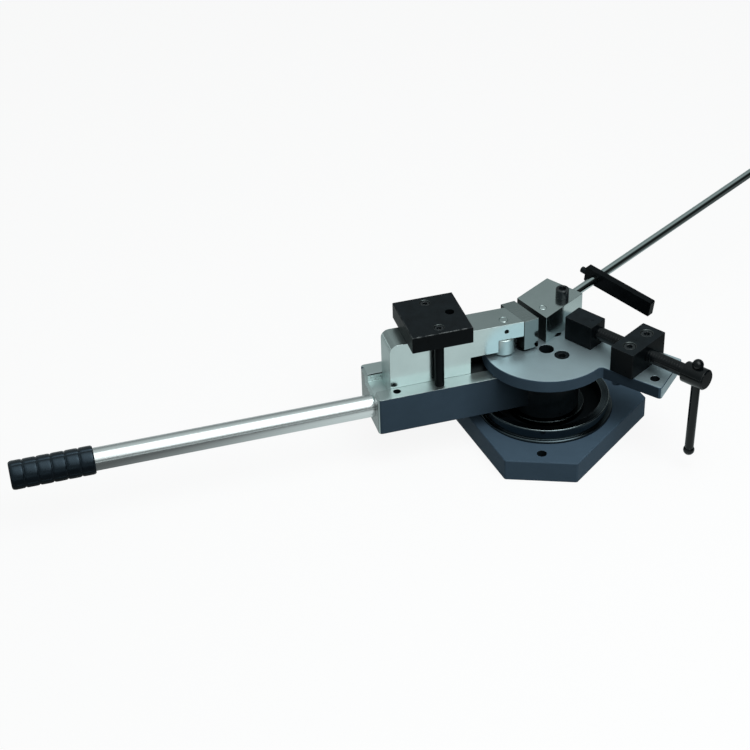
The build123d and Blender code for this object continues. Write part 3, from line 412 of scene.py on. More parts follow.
def milled_steel(name):
    """Rough machined steel with small dark specks, darkened towards the pivot as painted shade."""
    material, tree, shader = new_material(name, metallic=1.0)
    bare = shade(settings().finish.steel, 1.25)
    specks = stretched_noise(tree, 420.0, detail=3.0)
    marks = stretched_noise(tree, (30.0, 900.0, 900.0), arm_turn)
    mixed = mottle(tree, specks, shade(bare, 0.55), bare, middle=(0.34, 0.5))
    oiled = shade_towards_pivot(tree, mixed, *groove_shade)
    tree.links.new(oiled, shader.inputs["Base Color"])
    vary_roughness(tree, shader, marks, 0.46, 0.56)
    add_bump(tree, shader, marks, strength=0.12, distance=0.00005)
    return material


def turned_steel(name, colour, roughness=0.22):
    """Steel with fine lathe lines round the pivot, worn bright along its edges."""
    material, tree, shader = new_material(name, metallic=1.0)
    colours = settings().finish
    rings = add_node(tree, "ShaderNodeTexNoise", noise_dimensions="1D", Scale=2400.0, Detail=2.0)
    tree.links.new(pivot_distance(tree), rings.inputs["W"])
    lines = rings.outputs["Fac"]
    bright = edge_wear(tree, 45.0, middle=(0.35, 0.6), wear=(0.25, 1.0))
    mixed = blend_colours(tree, bright, getattr(colours, colour), colours.steel)
    tree.links.new(mixed, shader.inputs["Base Color"])
    vary_roughness(tree, shader, lines, roughness - 0.04, roughness + 0.06)
    add_bump(tree, shader, lines, strength=0.1, distance=0.00002)
    return material


def slate_paint(name, shade_radius=0.0, shade_fade=0.002, tint=1.0):
    """Satin paint with a faint orange peel and a soft change of tone, turned black inside
    shade_radius of the pivot as painted shade.
    """
    material, tree, shader = new_material(name)
    colour = shade(settings().finish.slate, tint)
    clouds = stretched_noise(tree, 18.0, detail=4.0, roughness=0.6)
    peel = stretched_noise(tree, 700.0)
    mixed = mottle(tree, clouds, shade(colour, 0.9), shade(colour, 1.06))
    if shade_radius:
        mixed = shade_towards_pivot(tree, mixed, shade_radius, shade_radius + shade_fade)
    tree.links.new(mixed, shader.inputs["Base Color"])
    vary_roughness(tree, shader, clouds, 0.5, 0.6)
    shader.inputs["Specular IOR Level"].default_value = 0.05
    add_bump(tree, shader, peel, strength=0.06, distance=0.0001)
    return material


def black_oxide(name, wear=0.3, tint=1.0, gloss=0.1, polish=0.26):
    """Blackened steel, faintly mottled, worn bright along its edges."""
    material, tree, shader = new_material(name)
    colour = shade(settings().finish.black, tint)
    clouds = stretched_noise(tree, 60.0, detail=5.0, roughness=0.65)
    grain = stretched_noise(tree, 1500.0)
    bright = edge_wear(tree, 140.0, middle=(0.4, 0.62), wear=(0.0, wear))
    mixed = mottle(tree, clouds, shade(colour, 0.7), shade(colour, 1.35))
    worn = blend_colours(tree, bright, mixed, settings().finish.edge)
    tree.links.new(worn, shader.inputs["Base Color"])
    tree.links.new(bright, shader.inputs["Metallic"])
    vary_roughness(tree, shader, clouds, polish, polish + 0.12)
    shader.inputs["Specular IOR Level"].default_value = gloss
    add_bump(tree, shader, grain, strength=0.05, distance=0.00005)
    return material


def chrome_plate(name):
    """Bright plating with faint draw lines along the tube."""
    material, tree, shader = new_material(name, metallic=1.0)
    colour = settings().finish.chrome
    lines = stretched_noise(tree, (6.0, 900.0, 900.0), arm_turn)
    mixed = mottle(tree, lines, shade(colour, 0.94), colour)
    tree.links.new(mixed, shader.inputs["Base Color"])
    vary_roughness(tree, shader, lines, 0.17, 0.26)
    add_bump(tree, shader, lines, strength=0.05, distance=0.00003)
    return material


def grip_rubber(name):
    """Moulded rubber with a fine matt grain."""
    material, tree, shader = new_material(name)
    colours = settings().finish
    clouds = stretched_noise(tree, 55.0, detail=4.0)
    grain = stretched_noise(tree, 1400.0)
    mixed = mottle(tree, clouds, shade(colours.rubber, 0.8), shade(colours.rubber, 1.3))
    tree.links.new(mixed, shader.inputs["Base Color"])
    vary_roughness(tree, shader, clouds, 0.24, 0.34)
    shader.inputs["Specular IOR Level"].default_value = 0.55
    shader.inputs["Specular Tint"].default_value = (*colours.rubber_gloss, 1.0)
    add_bump(tree, shader, grain, strength=0.2, distance=0.0001)
    return material


def turned_bronze(name):
    """Bearing bronze with lathe lines."""
    material, tree, shader = new_material(name, metallic=1.0)
    colour = settings().finish.bronze
    lines = stretched_noise(tree, (120.0, 120.0, 3000.0))
    mixed = mottle(tree, lines, shade(colour, 0.85), colour)
    tree.links.new(mixed, shader.inputs["Base Color"])
    shader.inputs["Roughness"].default_value = 0.3
    add_bump(tree, shader, lines, strength=0.1, distance=0.00004)
    return material


finish_makers = {
    "slate_paint": slate_paint,
    # Inside the guard ring's dish the base's top turns black: painted shade under the table
    "base_paint": partial(slate_paint, shade_radius=0.0765, tint=1.08),
    # A darker copy of the slate paint: painted shade on the upright sides of the table's ear
    "ear_paint": partial(slate_paint, tint=0.45),
    # The arm's paint turns black towards the hub as painted shade under the table
    "arm_paint": partial(slate_paint, shade_radius=0.042, shade_fade=0.088),
    "arm_steel": partial(ground_steel, turn=arm_turn, roughness=0.38, tint=1.05),
    # The arm's end: a darker copy of the steel, partly its own tone and partly painted shade and
    # reflection
    "end_steel": partial(ground_steel, turn=arm_turn, roughness=0.25, tint=0.36),
    "milled_steel": milled_steel,
    "slide_steel": partial(ground_steel, turn=arm_turn, roughness=0.19),
    "slide_end": partial(ground_steel, turn=arm_turn, roughness=0.35, tint=1.1),
    # The groove floor: a lighter copy of the steel, partly painted light, turning black towards
    # the pivot as painted shade
    "groove_steel": partial(ground_steel, turn=arm_turn, roughness=0.3, tint=1.4, pivot_shade=groove_shade),
    # The slide's top: a darker copy of the steel, partly its own tone and partly painted shade
    "slide_top": partial(ground_steel, turn=arm_turn, roughness=0.22, tint=0.86),
    # Near-black copy of the steel: painted shade in the roller's pocket, on the die's face towards
    # -Y, on the bending jaw's ends and along the top of the groove's back wall
    "pocket_steel": partial(ground_steel, turn=arm_turn, roughness=0.5, tint=0.06),
    "die_steel": partial(ground_steel, turn=rod_turn, roughness=0.16),
    "dowel_steel": partial(ground_steel, turn=rod_turn, roughness=0.4, tint=1.1),
    "table_steel": partial(ground_steel, turn=ear_turn, roughness=0.5, colour="table"),
    "rod_steel": partial(ground_steel, turn=rod_turn, roughness=0.08),
    # The bending jaw: a darker copy of the steel, partly its own tone and partly painted shade and
    # reflection
    "jaw_steel": partial(ground_steel, turn=arm_turn, roughness=0.24, tint=0.62),
    # The bending jaw's polished front: a darker copy of the steel, partly its own tone and partly
    # painted reflection
    "jaw_face": partial(ground_steel, turn=arm_turn, roughness=0.08, tint=0.4),
    "roller_steel": partial(ground_steel, turn=rod_turn, roughness=0.3, tint=0.9),
    # The mouths of the screw recesses: a darker copy of the table steel, partly its own tone and
    # partly painted shade
    "rim_steel": partial(ground_steel, turn=ear_turn, roughness=0.35, tint=0.16),
    "ring_steel": partial(turned_steel, colour="ring"),
    # The thrust ring's near-black colour is painted shade under the table
    "thrust_steel": partial(turned_steel, colour="thrust"),
    "black_oxide": black_oxide,
    "worn_oxide": partial(black_oxide, wear=1.0, tint=0.85),
    # Darker copy of the black oxide: painted shade on upright sides, while lit tops keep
    # black_oxide
    "dark_oxide": partial(black_oxide, wear=0.05, tint=0.4, gloss=0.06),
    "screw_oxide": partial(black_oxide, wear=0.8, gloss=0.4, polish=0.18),
    "spindle_oxide": partial(black_oxide, wear=0.3, tint=0.35, gloss=0.26, polish=0.12),
    "chrome_plate": chrome_plate,
    "grip_rubber": grip_rubber,
    "turned_bronze": turned_bronze,
}
made_finishes = {}


def finish(name):
    """One material of each finish, made when it is first asked for."""
    if name not in made_finishes:
        made_finishes[name] = finish_makers[name](name)
    return made_finishes[name]


# Mesh helpers
def way_at(turn):
    """The level direction at a turn about Z in degrees."""
    return Vector((cos(radians(turn)), sin(radians(turn)), 0.0))


def is_upright(normal):
    return abs(normal.z) < 0.5


def in_bore(mount_name, turn=0.0):
    """A test for faces on the wall of a bore, or of the bolt hole at a turn of its ring."""
    mount = next(m for m in frame["record"]["mounts"] if m["name"] == mount_name)
    sizes = mount["dims"]
    across = sizes.get("pcd_mm", 0.0) / 2000.0
    centre = Vector(mount["pos_m"]) + way_at(turn) * across
    slack = 0.0003
    radius = sizes.get("r_mm", sizes.get("hole_r_mm", 0.0)) / 1000.0 + slack

    def on_wall(normal, place):
        return is_upright(normal) and (place - centre).xy.length < radius

    return on_wall


def near_node(node, reach):
    """A test of whether a place lies close to a CAD node, seen from above."""
    spots = [v.co.xy for v in frame["nodes"][node].data.vertices]

    def close_by(place):
        return any((place.xy - spot).length < reach for spot in spots)

    return close_by


def on_back_wall(normal, place):
    low_side, high_side = back_wall_sides
    return normal.dot(arm_side) > 0.9 and low_side < place.dot(arm_side) < high_side


def place_piece(bm, name, node, finishes):
    """Turns a bmesh into an object that rides on a CAD node's body and stands for the node."""
    for face in bm.faces:
        face.smooth = True
    mesh = bpy.data.meshes.new(name)
    bm.to_mesh(mesh)
    bm.free()
    for finish_name in finishes:
        mesh.materials.append(finish(finish_name))
    piece = bpy.data.objects.new(name, mesh)
    bpy.context.scene.collection.objects.link(piece)
    piece.modifiers.new("even_normals", "WEIGHTED_NORMAL").keep_sharp = True
    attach(piece, frame["nodes"][node]["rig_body"])
    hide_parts(node)


def merged_copy(node):
    """A bmesh of a CAD node's mesh with its loose triangles joined into clean faces."""
    bm = bmesh.new()
    bm.from_mesh(frame["nodes"][node].data)
    bmesh.ops.remove_doubles(bm, verts=bm.verts, dist=merge_reach)
    bmesh.ops.dissolve_limit(
        bm, angle_limit=radians(0.4), use_dissolve_boundaries=False,
        verts=bm.verts, edges=bm.edges, delimit=set(),
    )
    return bm


def sharp_edges(bm):
    limit = settings().size.sharp_angle
    return [e for e in bm.edges if e.is_manifold and e.calc_face_angle() > limit]


def bevel_edges(bm, edges, width, segments):
    """Bevels edges and gives the new faces."""
    made = bmesh.ops.bevel(
        bm, geom=edges, offset=width, offset_type="OFFSET", segments=segments, profile=0.5,
        affect="EDGES", material=-1, clamp_overlap=False,
    )
    return made["faces"]


def fully_worn(place):
    return 1.0


def round_edges(bm, width, worn):
    """Rounds the sharp edges and keeps how worn the strips are in the attribute named edge."""
    sharp = sharp_edges(bm)
    layer = bm.verts.layers.float.new("edge")
    strips = set(bevel_edges(bm, sharp, width, segments=2))
    for vert in bm.verts:
        inside = vert.link_faces and all(face in strips for face in vert.link_faces)
        vert[layer] = worn(vert.co) if inside else 0.0


def dress(node, finishes, choose=None, width=None, worn=fully_worn, shape=None):
    """Shapes and rounds a copy of a CAD node; choose names the finish of each face."""
    bm = merged_copy(node)
    if shape:
        shape(bm)
        bm.normal_update()
    if choose:
        for face in bm.faces:
            face.material_index = finishes.index(choose(face.normal, face.calc_center_median()))
    round_edges(bm, settings().size.edge_round if width is None else width, worn)
    place_piece(bm, "dressed_" + node, node, finishes)


def dress_small(node, finish_name):
    """A screw, pin or other small piece in one finish, with finely rounded edges."""
    dress(node, [finish_name], width=settings().size.fine_round)


def dress_sunk(block, screws, top_finish, worn=fully_worn):
    """A block with its own finish on top and chamfered mouths round its sunk screws."""
    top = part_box(block)[1].z
    recess_reach = 0.003
    close_by = near_node(screws, recess_reach)

    def on_mouth(place):
        return top - place.z < touch and close_by(place)

    def chamfer_mouths(bm):
        rims = [edge for edge in sharp_edges(bm) if all(on_mouth(v.co) for v in edge.verts)]
        bevel_edges(bm, rims, settings().size.rim_chamfer, segments=1)

    def choose(normal, place):
        # The chamfered mouths take a darker copy of the steel, partly its own tone and partly
        # painted shade; upright sides take the darker copy of the oxide as painted shade
        if 0.3 < normal.z < 0.9 and close_by(place):
            return "rim_steel"
        return "dark_oxide" if normal.z < 0.5 else top_finish

    finishes = [top_finish, "dark_oxide", "rim_steel"]
    dress(block, finishes, choose, worn=worn, shape=chamfer_mouths)


# Shapes of single pieces
def finish_arm_end(bm):
    """Chamfers the rails and groove at the arm's end and parts off a line of painted shade along
    the top of the back wall.
    """
    size = settings().size
    reach = max(v.co.dot(arm_way) for v in bm.verts)
    top = max(v.co.z for v in bm.verts)

    def at_end(place):
        return place.dot(arm_way) > reach - touch and place.z > top - rail_height

    ends = [edge for edge in bm.edges if all(at_end(v.co) for v in edge.verts)]
    bevel_edges(bm, ends, size.end_chamfer, segments=1)
    wall = [f for f in bm.faces if on_back_wall(f.normal, f.calc_center_median())]
    edges = {edge for face in wall for edge in face.edges}
    verts = {vert for face in wall for vert in face.verts}
    bmesh.ops.bisect_plane(
        bm, geom=[*wall, *edges, *verts], dist=merge_reach,
        plane_co=(0.0, 0.0, top - size.shade_line), plane_no=(0.0, 0.0, 1.0),
    )


def cut_thread(bm):
    """Turns the spindle's shank down to its core and winds the thread's ridge on it."""
    size = settings().size
    low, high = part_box("clamp_spindle")
    axis = (low + high) / 2.0
    radius = size.shank_radius
    shank = [v for v in bm.verts if abs((v.co - axis).yz.length - radius) < touch]
    start = min(v.co.x for v in shank)
    end = max(v.co.x for v in shank)
    for vert in shank:
        out = Vector((0.0, vert.co.y - axis.y, vert.co.z - axis.z)).normalized()
        vert.co -= out * size.thread_depth
    sink = 0.0002
    sunk = radius - size.thread_depth - sink
    root_share, crest_share = 0.48, 0.45
    root = size.thread_pitch * root_share
    crest = size.thread_pitch * crest_share
    middle = start + root
    corners = [(-root, sunk), (-crest, radius), (crest, radius), (root, sunk)]
    verts = [bm.verts.new((middle + along, axis.y, axis.z + out)) for along, out in corners]
    ridge = [bm.faces.new(verts)]
    rims = list(ridge[0].edges)
    turns = (end - start - 2.0 * root) / size.thread_pitch
    cuts_per_turn = 40
    cuts = round(turns * cuts_per_turn)
    bmesh.ops.spin(
        bm, geom=ridge, cent=(middle, axis.y, axis.z), axis=(1.0, 0.0, 0.0), steps=cuts,
        angle=full_turn * turns, dvec=(size.thread_pitch * turns / cuts, 0.0, 0.0),
    )
    bmesh.ops.holes_fill(bm, edges=[e for e in rims if e.is_boundary], sides=4)
    bmesh.ops.recalc_face_normals(bm, faces=bm.faces)


def grip_outline(start, end, floor, bore, radius):
    """Half the grip's outline: places along the arm and distances from the handle's axis."""
    size = settings().size
    pitch = (end - start) / size.pad_rows
    mouth_drop = 0.0015
    points = [(floor, 0.0), (floor, bore), (start, bore), (start, radius - mouth_drop)]
    for row in range(size.pad_rows):
        near = start + row * pitch
        if row:
            points.append((near, radius - size.pad_groove))
        points += [(near + step, radius - drop) for step, drop in pad_end]
        points.append((near + pitch / 2.0, radius))
        points += [(near + pitch - step, radius - drop) for step, drop in reversed(pad_end)]
    points[-len(pad_end):] = [(end - step, radius - drop) for step, drop in grip_tip]
    points.append((end, 0.0))
    return points


def padded_grip():
    """A sleeve turned from an outline with ring grooves, grooved lengthwise into pads."""
    size = settings().size
    mesh = frame["nodes"]["handle_grip"].data
    low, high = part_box("handle_grip")
    middle = (low + high) / 2.0
    along = [(v.co - middle).dot(arm_way) for v in mesh.vertices]
    out = [(v.co - middle - arm_way * a).length for v, a in zip(mesh.vertices, along)]
    start, end, radius, bore = min(along), max(along), max(out), min(out)
    floor = max(a for a, r in zip(along, out) if abs(r - bore) < touch)
    points = grip_outline(start, end, floor, bore, radius)
    spin_steps = 192
    bm = bmesh.new()
    verts = [bm.verts.new(middle + arm_way * a + Vector((0.0, 0.0, r))) for a, r in points]
    edges = [bm.edges.new(pair) for pair in zip(verts, verts[1:])]
    bmesh.ops.spin(
        bm, geom=[*verts, *edges], cent=middle, axis=arm_way, angle=full_turn,
        steps=spin_steps, use_merge=True,
    )
    bmesh.ops.remove_doubles(bm, verts=bm.verts, dist=merge_reach)
    bmesh.ops.recalc_face_normals(bm, faces=bm.faces)
    wedge = full_turn / size.pad_columns
    groove_lean = 0.18
    first_groove = Vector((0.0, 0.0, 1.0)) + arm_side * groove_lean
    groove_width = 0.0011
    wall_slack = 0.001
    tip_length = 0.004
    for vert in bm.verts:
        place = (vert.co - middle).dot(arm_way)
        spoke = vert.co - middle - arm_way * place
        if spoke.length < bore + wall_slack or place > end - tip_length:
            continue
        turn = spoke.angle(first_groove)
        off = abs((turn + wedge / 2.0) % wedge - wedge / 2.0) * radius
        dip = size.pad_groove * exp(-((off / groove_width) ** 2))
        vert.co -= spoke.normalized() * min(dip, spoke.length - radius + size.pad_groove)
    return bm


# Operators
class BENDER_OT_base(bpy.types.Operator):
    """Base plate, guard ring and the pivot's pieces"""

    bl_idname = "bender.base"
    bl_label = "Base and pivot"

    def execute(self, context):
        front_hole_turn = ear_turn - 60.0
        front_hole = in_bore("base_bolts", front_hole_turn)
        ring_low, ring_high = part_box("guard_ring")
        edge_band = 0.001
        foot_reach = (ring_high.x - ring_low.x) / 2.0 - edge_band
        foot_low, foot_high = 0.003, 0.0045

        # The front bolt hole's wall is black as painted shade in the hole
        def base_face(normal, place):
            return "black_oxide" if front_hole(normal, place) else "base_paint"

        def ring_wear(place):
            if place.z > ring_high.z - edge_band:
                return 1.0
            height = place.z - ring_low.z
            foot = foot_low < height < foot_high and place.xy.length > foot_reach
            return 0.5 if foot else 0.0

        dress("base_plate", ["base_paint", "black_oxide"], base_face)
        dress("guard_ring", ["ring_steel"], worn=ring_wear)
        dress("lower_thrust_ring", ["thrust_steel"])
        dress("column", ["black_oxide"])
        dress_small("column_key", "black_oxide")
        dress("retaining_washer", ["black_oxide"])
        dress("column_screw", ["black_oxide"])
        dress_small("upper_thrust_washer", "turned_bronze")
        return {"FINISHED"}


class BENDER_OT_table(bpy.types.Operator):
    """Table plate with its ground top and painted edge, and its screws"""

    bl_idname = "bender.table"
    bl_label = "Table"

    def execute(self, context):
        ear_way = way_at(ear_turn)
        ear_depth = 0.02
        ear_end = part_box("table_plate")[1].x - ear_depth
        pin_bore = in_bore("table_pin_bore")
        ear_bore = in_bore("ear_bolt_hole")

        def table_face(normal, place):
            # Walls of the recesses and bores are black as painted shade in the holes
            recess = is_upright(normal) and place.xy.length < table_rim
            if recess or pin_bore(normal, place) or ear_bore(normal, place):
                return "black_oxide"
            ear_face = normal.dot(ear_way) > 0.8 and place.x > ear_end
            if normal.z > 0.95 or ear_face:
                return "table_steel"
            # The ear's upright sides take a darker copy of the paint as painted shade
            ear_side = abs(normal.dot(ear_way)) < 0.1 and place.dot(ear_way) > table_rim
            return "ear_paint" if ear_side and is_upright(normal) else "slate_paint"

        finishes = ["slate_paint", "table_steel", "black_oxide", "ear_paint"]
        dress("table_plate", finishes, table_face)
        dress_small("table_screws", "black_oxide")
        return {"FINISHED"}


class BENDER_OT_die(bpy.types.Operator):
    """Die block with its screw and dowel"""

    bl_idname = "bender.die"
    bl_label = "Die"

    def execute(self, context):
        # The die's face towards -Y is near black as painted shade and a painted reflection of the
        # jaw beside it
        def die_face(normal, place):
            return "pocket_steel" if normal.y < -0.9 else "die_steel"

        dress("die_block", ["die_steel", "pocket_steel"], die_face)
        dress_small("die_screw", "screw_oxide")
        dress_small("die_dowel", "dowel_steel")
        dress_small("rod_grub_screw", "black_oxide")
        return {"FINISHED"}


class BENDER_OT_clamp(bpy.types.Operator):
    """Nut block, moving jaw, spindle and tommy bar"""

    bl_idname = "bender.clamp"
    bl_label = "Screw clamp"

    def execute(self, context):
        hub_length = 0.034
        hub_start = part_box("clamp_spindle")[1].x - hub_length

        # Upright faces of the moving jaw take the darker copy of the oxide as painted shade
        def jaw_face(normal, place):
            return "dark_oxide" if normal.z < 0.5 else "black_oxide"

        def hub_wear(place):
            return float(place.x > hub_start)

        dress_sunk("nut_block", "nut_block_screws", "black_oxide")
        dress_small("nut_block_screws", "screw_oxide")
        dress("moving_jaw", ["black_oxide", "dark_oxide"], jaw_face)
        dress_small("jaw_pin", "black_oxide")
        dress(
            "clamp_spindle", ["spindle_oxide"], width=settings().size.fine_round,
            worn=hub_wear, shape=cut_thread,
        )
        dress_small("tommy_bar", "spindle_oxide")
        dress_small("tommy_balls", "spindle_oxide")
        return {"FINISHED"}


class BENDER_OT_arm(bpy.types.Operator):
    """Swing arm with its ground rails, and its bushes"""

    bl_idname = "bender.arm"
    bl_label = "Swing arm"

    def execute(self, context):
        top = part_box("swing_arm")[1].z
        rail_low = top - rail_height
        shade_line_low = top - settings().size.shade_line
        groove_back, groove_front = groove_sides
        rail_bore = in_bore("rail_pin_bore")

        def arm_face(normal, place):
            in_groove = groove_back < place.dot(arm_side) < groove_front
            in_hub = is_upright(normal) and place.xy.length < hub_reach
            # The rail pin bore's wall is black as painted shade in the hole; the hub's sides are
            # black oxide
            if in_hub or rail_bore(normal, place):
                return "black_oxide"
            # The strip along the top of the back wall is near black as painted shade; below it the
            # wall darkens towards the pivot as painted shade
            if on_back_wall(normal, place):
                return "pocket_steel" if place.z > shade_line_low else "milled_steel"
            # The groove floor is a lighter copy of the steel, partly painted light, and darkens
            # towards the pivot as painted shade
            if in_groove and normal.z > 0.6 and place.z < shade_line_low:
                return "groove_steel"
            # The arm's end is a darker copy of the steel, partly its own tone and partly painted
            # shade and reflection
            if normal.dot(arm_way) > 0.9:
                return "end_steel"
            outer_side = abs(normal.dot(arm_side)) > 0.5 and not in_groove
            rails = place.z > rail_low and normal.z > -0.5 and not outer_side
            return "arm_steel" if rails or normal.dot(arm_way) > 0.6 else "arm_paint"

        finishes = ["arm_paint", "arm_steel", "black_oxide", "milled_steel"]
        finishes += ["groove_steel", "pocket_steel", "end_steel"]
        dress("swing_arm", finishes, arm_face, shape=finish_arm_end)
        dress_small("arm_bushes", "turned_bronze")
        return {"FINISHED"}


class BENDER_OT_handle(bpy.types.Operator):
    """Handle tube, rubber grip and set screw"""

    bl_idname = "bender.handle"
    bl_label = "Handle"

    def execute(self, context):
        dress_small("handle_tube", "chrome_plate")
        place_piece(padded_grip(), "padded_grip", "handle_grip", ["grip_rubber"])
        dress_small("handle_set_screw", "black_oxide")
        return {"FINISHED"}


class BENDER_OT_slide(bpy.types.Operator):
    """Slide with its bending jaw, roller and pins"""

    bl_idname = "bender.slide"
    bl_label = "Slide"

    def execute(self, context):
        bend_slant = radians(17.5)
        bend_way = arm_way * -cos(bend_slant) + arm_side * -sin(bend_slant)
        roller_low, roller_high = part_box("bending_roller")
        roller_middle = (roller_low + roller_high) / 2.0
        side_room, top_room = 0.0035, 0.002
        pocket_reach = (roller_high.x - roller_low.x) / 2.0 + side_room
        pocket_top = roller_high.z + top_room

        def slide_face(normal, place):
            # The roller's pocket is near black as painted shade
            near_roller = (place - roller_middle).xy.length < pocket_reach
            if near_roller and normal.z < 0.5 and place.z < pocket_top:
                return "pocket_steel"
            # The top takes a darker copy of the steel, partly its own tone and partly painted
            # shade
            if normal.z > 0.9:
                return "slide_top"
            return "slide_end" if normal.dot(arm_way) > 0.9 else "slide_steel"

        # The bending jaw's front takes a darker copy, partly painted reflection; its ends, facing
        # the narrow gaps, are near black as painted shade; its other faces take a darker copy,
        # partly painted shade
        def jaw_face(normal, place):
            if normal.dot(arm_side) > 0.8:
                return "jaw_face"
            return "pocket_steel" if abs(normal.dot(bend_way)) > 0.9 else "jaw_steel"

        slide_finishes = ["slide_steel", "slide_top", "slide_end", "pocket_steel"]
        dress("slide_block", slide_finishes, slide_face)
        dress("bending_jaw", ["jaw_steel", "pocket_steel", "jaw_face"], jaw_face)
        dress_small("bending_jaw_screws", "black_oxide")
        dress_small("bending_roller", "roller_steel")
        dress_small("roller_pin", "rod_steel")
        dress_small("roller_grub_screw", "black_oxide")
        return {"FINISHED"}


class BENDER_OT_bridge(bpy.types.Operator):
    """Bridge plate, posts and screws"""

    bl_idname = "bender.bridge"
    bl_label = "Bridge"

    def execute(self, context):
        edge_band = 0.0015
        edge_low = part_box("bridge_plate")[1].z - edge_band
        front_side = 0.0275

        def front_wear(place):
            return float(place.z > edge_low and place.dot(arm_side) > front_side)

        dress_sunk("bridge_plate", "bridge_screws", "worn_oxide", worn=front_wear)
        # The posts take the darker copy of the black oxide as painted shade
        dress_small("bridge_posts", "dark_oxide")
        dress_small("bridge_screws", "screw_oxide")
        return {"FINISHED"}


class BENDER_OT_stop(bpy.types.Operator):
    """Stop rod, stop bar and its screw"""

    bl_idname = "bender.stop"
    bl_label = "Length stop"

    def execute(self, context):
        dress_small("stop_rod", "rod_steel")
        # The stop bar takes the darker copy of the black oxide as painted shade
        dress("stop_bar", ["dark_oxide"])
        dress_small("stop_screw", "black_oxide")
        return {"FINISHED"}


# Stage
def seen_directly(tree, path):
    """One for a ray from the camera, straight or through glass."""
    camera = path.outputs["Is Camera Ray"]
    return calculate(tree, "MAXIMUM", camera, path.outputs["Is Transmission Ray"])


def floor_material():
    """White to the camera; the bare metal sees a pool of light, dark to the right and front."""
    stage = settings().stage
    material, tree, shader = new_material("pale_floor")
    shader.inputs["Base Color"].default_value = (0.12, 0.12, 0.12, 1.0)
    shader.inputs["Roughness"].default_value = 0.9
    shader.inputs["Specular IOR Level"].default_value = 0.0
    place = add_node(tree, "ShaderNodeTexCoord").outputs["Object"]
    split = add_node(tree, "ShaderNodeSeparateXYZ")
    tree.links.new(place, split.inputs["Vector"])
    away = measure(tree, "DISTANCE", place, stage.pool_centre)
    aside = measure(tree, "DOT_PRODUCT", place, stage.flag_way)
    pool_core, pool_light, pool_dim = 0.1, 0.75, 0.4
    right_start, right_end = 0.26, 0.42
    front_end, front_start = -0.6, -0.24
    dark = 0.1
    pool = remap(tree, away, pool_core, stage.pool_reach, pool_light, pool_dim, "SMOOTHSTEP")
    right = remap(tree, aside, right_start, right_end, 1.0, dark, "SMOOTHSTEP")
    front = remap(tree, split.outputs["Y"], front_end, front_start, dark, 1.0, "SMOOTHSTEP")
    lit = calculate(tree, "MULTIPLY", pool, calculate(tree, "MULTIPLY", right, front))
    path = add_node(tree, "ShaderNodeLightPath")
    glossy = path.outputs["Is Glossy Ray"]
    mirrored = calculate(tree, "MULTIPLY", glossy, lit)
    seen_light = 0.9
    seen = calculate(tree, "MULTIPLY", seen_directly(tree, path), seen_light)
    glow = calculate(tree, "MAXIMUM", seen, mirrored)
    tree.links.new(glow, shader.inputs["Emission Strength"])
    cool = blend_colours(tree, glossy, white, stage.tint)
    tree.links.new(cool, shader.inputs["Emission Color"])
    return material


def studio_world():
    """White to the camera; to the metal bright at the horizon, pale overhead, dark on one side."""
    stage = settings().stage
    world = bpy.data.worlds.new("studio")
    world.use_nodes = True
    tree = world.node_tree
    tree.nodes.clear()
    way = add_node(tree, "ShaderNodeTexCoord").outputs["Generated"]
    split = add_node(tree, "ShaderNodeSeparateXYZ")
    tree.links.new(way, split.inputs["Vector"])
    aside = measure(tree, "DOT_PRODUCT", way, stage.flag_way)
    side_light, top_light, horizon_light = 0.28, 0.6, 0.85
    dark = 0.05
    matt_light = 0.2
    overhead = remap(tree, split.outputs["Z"], 0.45, 0.9, side_light, top_light)
    horizon = remap(tree, split.outputs["Z"], 0.04, 0.14, horizon_light, 0.0)
    flag = remap(tree, aside, 0.45, 0.8, 1.0, dark, "SMOOTHSTEP")
    sky = calculate(tree, "MULTIPLY", calculate(tree, "MAXIMUM", overhead, horizon), flag)
    path = add_node(tree, "ShaderNodeLightPath")
    glossy = path.outputs["Is Glossy Ray"]
    mirrored = calculate(tree, "MULTIPLY", sky, glossy)
    matt = remap(tree, glossy, 0.0, 1.0, matt_light, 0.0)
    dome = add_node(tree, "ShaderNodeBackground", Color=(*stage.tint, 1.0))
    tree.links.new(calculate(tree, "MAXIMUM", mirrored, matt), dome.inputs["Strength"])
    backdrop = add_node(tree, "ShaderNodeBackground", Color=(*white, 1.0))
    mix = add_node(tree, "ShaderNodeMixShader")
    tree.links.new(seen_directly(tree, path), mix.inputs[0])
    tree.links.new(dome.outputs["Background"], mix.inputs[1])
    tree.links.new(backdrop.outputs["Background"], mix.inputs[2])
    output = add_node(tree, "ShaderNodeOutputWorld")
    tree.links.new(mix.outputs["Shader"], output.inputs["Surface"])
    return world


def add_floor():
    bm = bmesh.new()
    bmesh.ops.create_grid(bm, x_segments=1, y_segments=1, size=settings().stage.floor_size)
    mesh = bpy.data.meshes.new("floor")
    bm.to_mesh(mesh)
    bm.free()
    mesh.materials.append(floor_material())
    floor = bpy.data.objects.new("floor", mesh)
    bpy.context.scene.collection.objects.link(floor)


def add_softbox(name, place, size, power):
    lamp = bpy.data.lights.new(name, "AREA")
    lamp.shape = "RECTANGLE"
    lamp.size, lamp.size_y = size
    lamp.energy = power
    lamp.color = softbox_colour
    box = bpy.data.objects.new(name, lamp)
    box.location = place
    way = Vector(softbox_target) - Vector(place)
    box.rotation_euler = way.to_track_quat("-Z", "Y").to_euler()
    bpy.context.scene.collection.objects.link(box)


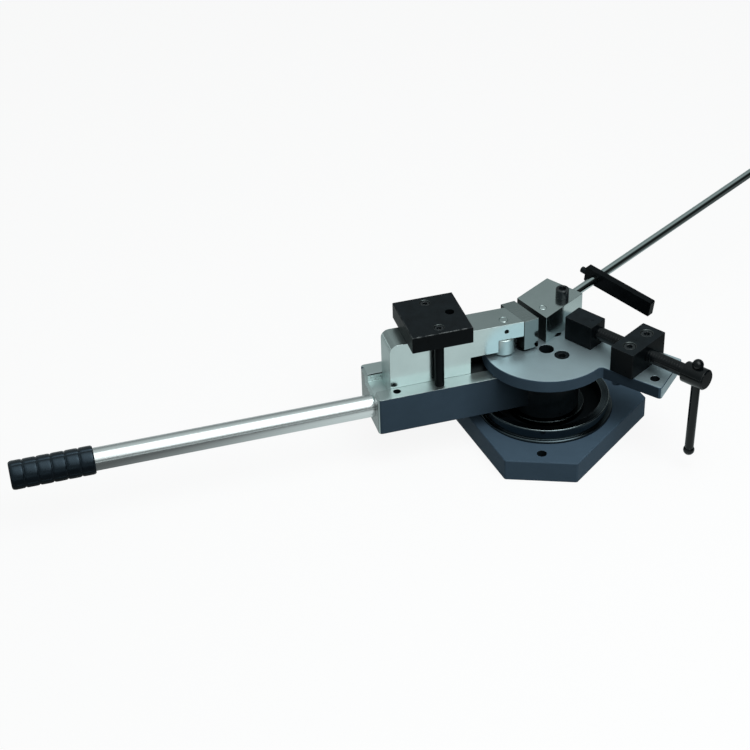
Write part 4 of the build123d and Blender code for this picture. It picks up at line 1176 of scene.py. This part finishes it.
def add_camera():
    stage = settings().stage
    lens = bpy.data.cameras.new("photo_camera")
    lens.lens = stage.lens
    lens.sensor_width = 36.0
    lens.sensor_fit = "HORIZONTAL"
    lens.clip_end = 50.0
    camera = bpy.data.objects.new("photo_camera", lens)
    forward = Vector(stage.camera_forward).normalized()
    right = forward.cross(Vector(stage.camera_up)).normalized()
    turn = Matrix((right, right.cross(forward), -forward)).transposed()
    camera.matrix_world = Matrix.Translation(stage.camera_place) @ turn.to_4x4()
    bpy.context.scene.collection.objects.link(camera)
    bpy.context.scene.camera = camera


class BENDER_OT_stage(bpy.types.Operator):
    """Floor, light and camera"""

    bl_idname = "bender.stage"
    bl_label = "Stage"

    def execute(self, context):
        add_floor()
        context.scene.world = studio_world()
        for softbox in softboxes:
            add_softbox(*softbox)
        add_camera()
        context.scene.view_settings.view_transform = "Standard"
        return {"FINISHED"}


class BenderSettings(bpy.types.PropertyGroup):
    """All settings of the bender"""

    finish: PointerProperty(type=BenderFinish)
    size: PointerProperty(type=BenderSize)
    stage: PointerProperty(type=BenderStage)


steps = (
    BENDER_OT_base,
    BENDER_OT_table,
    BENDER_OT_die,
    BENDER_OT_clamp,
    BENDER_OT_arm,
    BENDER_OT_handle,
    BENDER_OT_slide,
    BENDER_OT_bridge,
    BENDER_OT_stop,
    BENDER_OT_stage,
)


class BENDER_PT_panel(bpy.types.Panel):
    """Buttons for each piece"""

    bl_label = "Bender"
    bl_idname = "BENDER_PT_panel"
    bl_space_type = "VIEW_3D"
    bl_region_type = "UI"
    bl_category = "Bender"

    def draw(self, context):
        for step in steps:
            self.layout.operator(step.bl_idname)


classes = (BenderFinish, BenderSize, BenderStage, BenderSettings, *steps, BENDER_PT_panel)


def register():
    for cls in classes:
        bpy.utils.register_class(cls)
    bpy.types.Scene.bender = PointerProperty(type=BenderSettings)


def unregister():
    del bpy.types.Scene.bender
    for cls in reversed(classes):
        bpy.utils.unregister_class(cls)


def main():
    register()
    for step in steps:
        group, action = step.bl_idname.split(".")
        getattr(getattr(bpy.ops, group), action)()


if __name__ == "__main__":
    main()
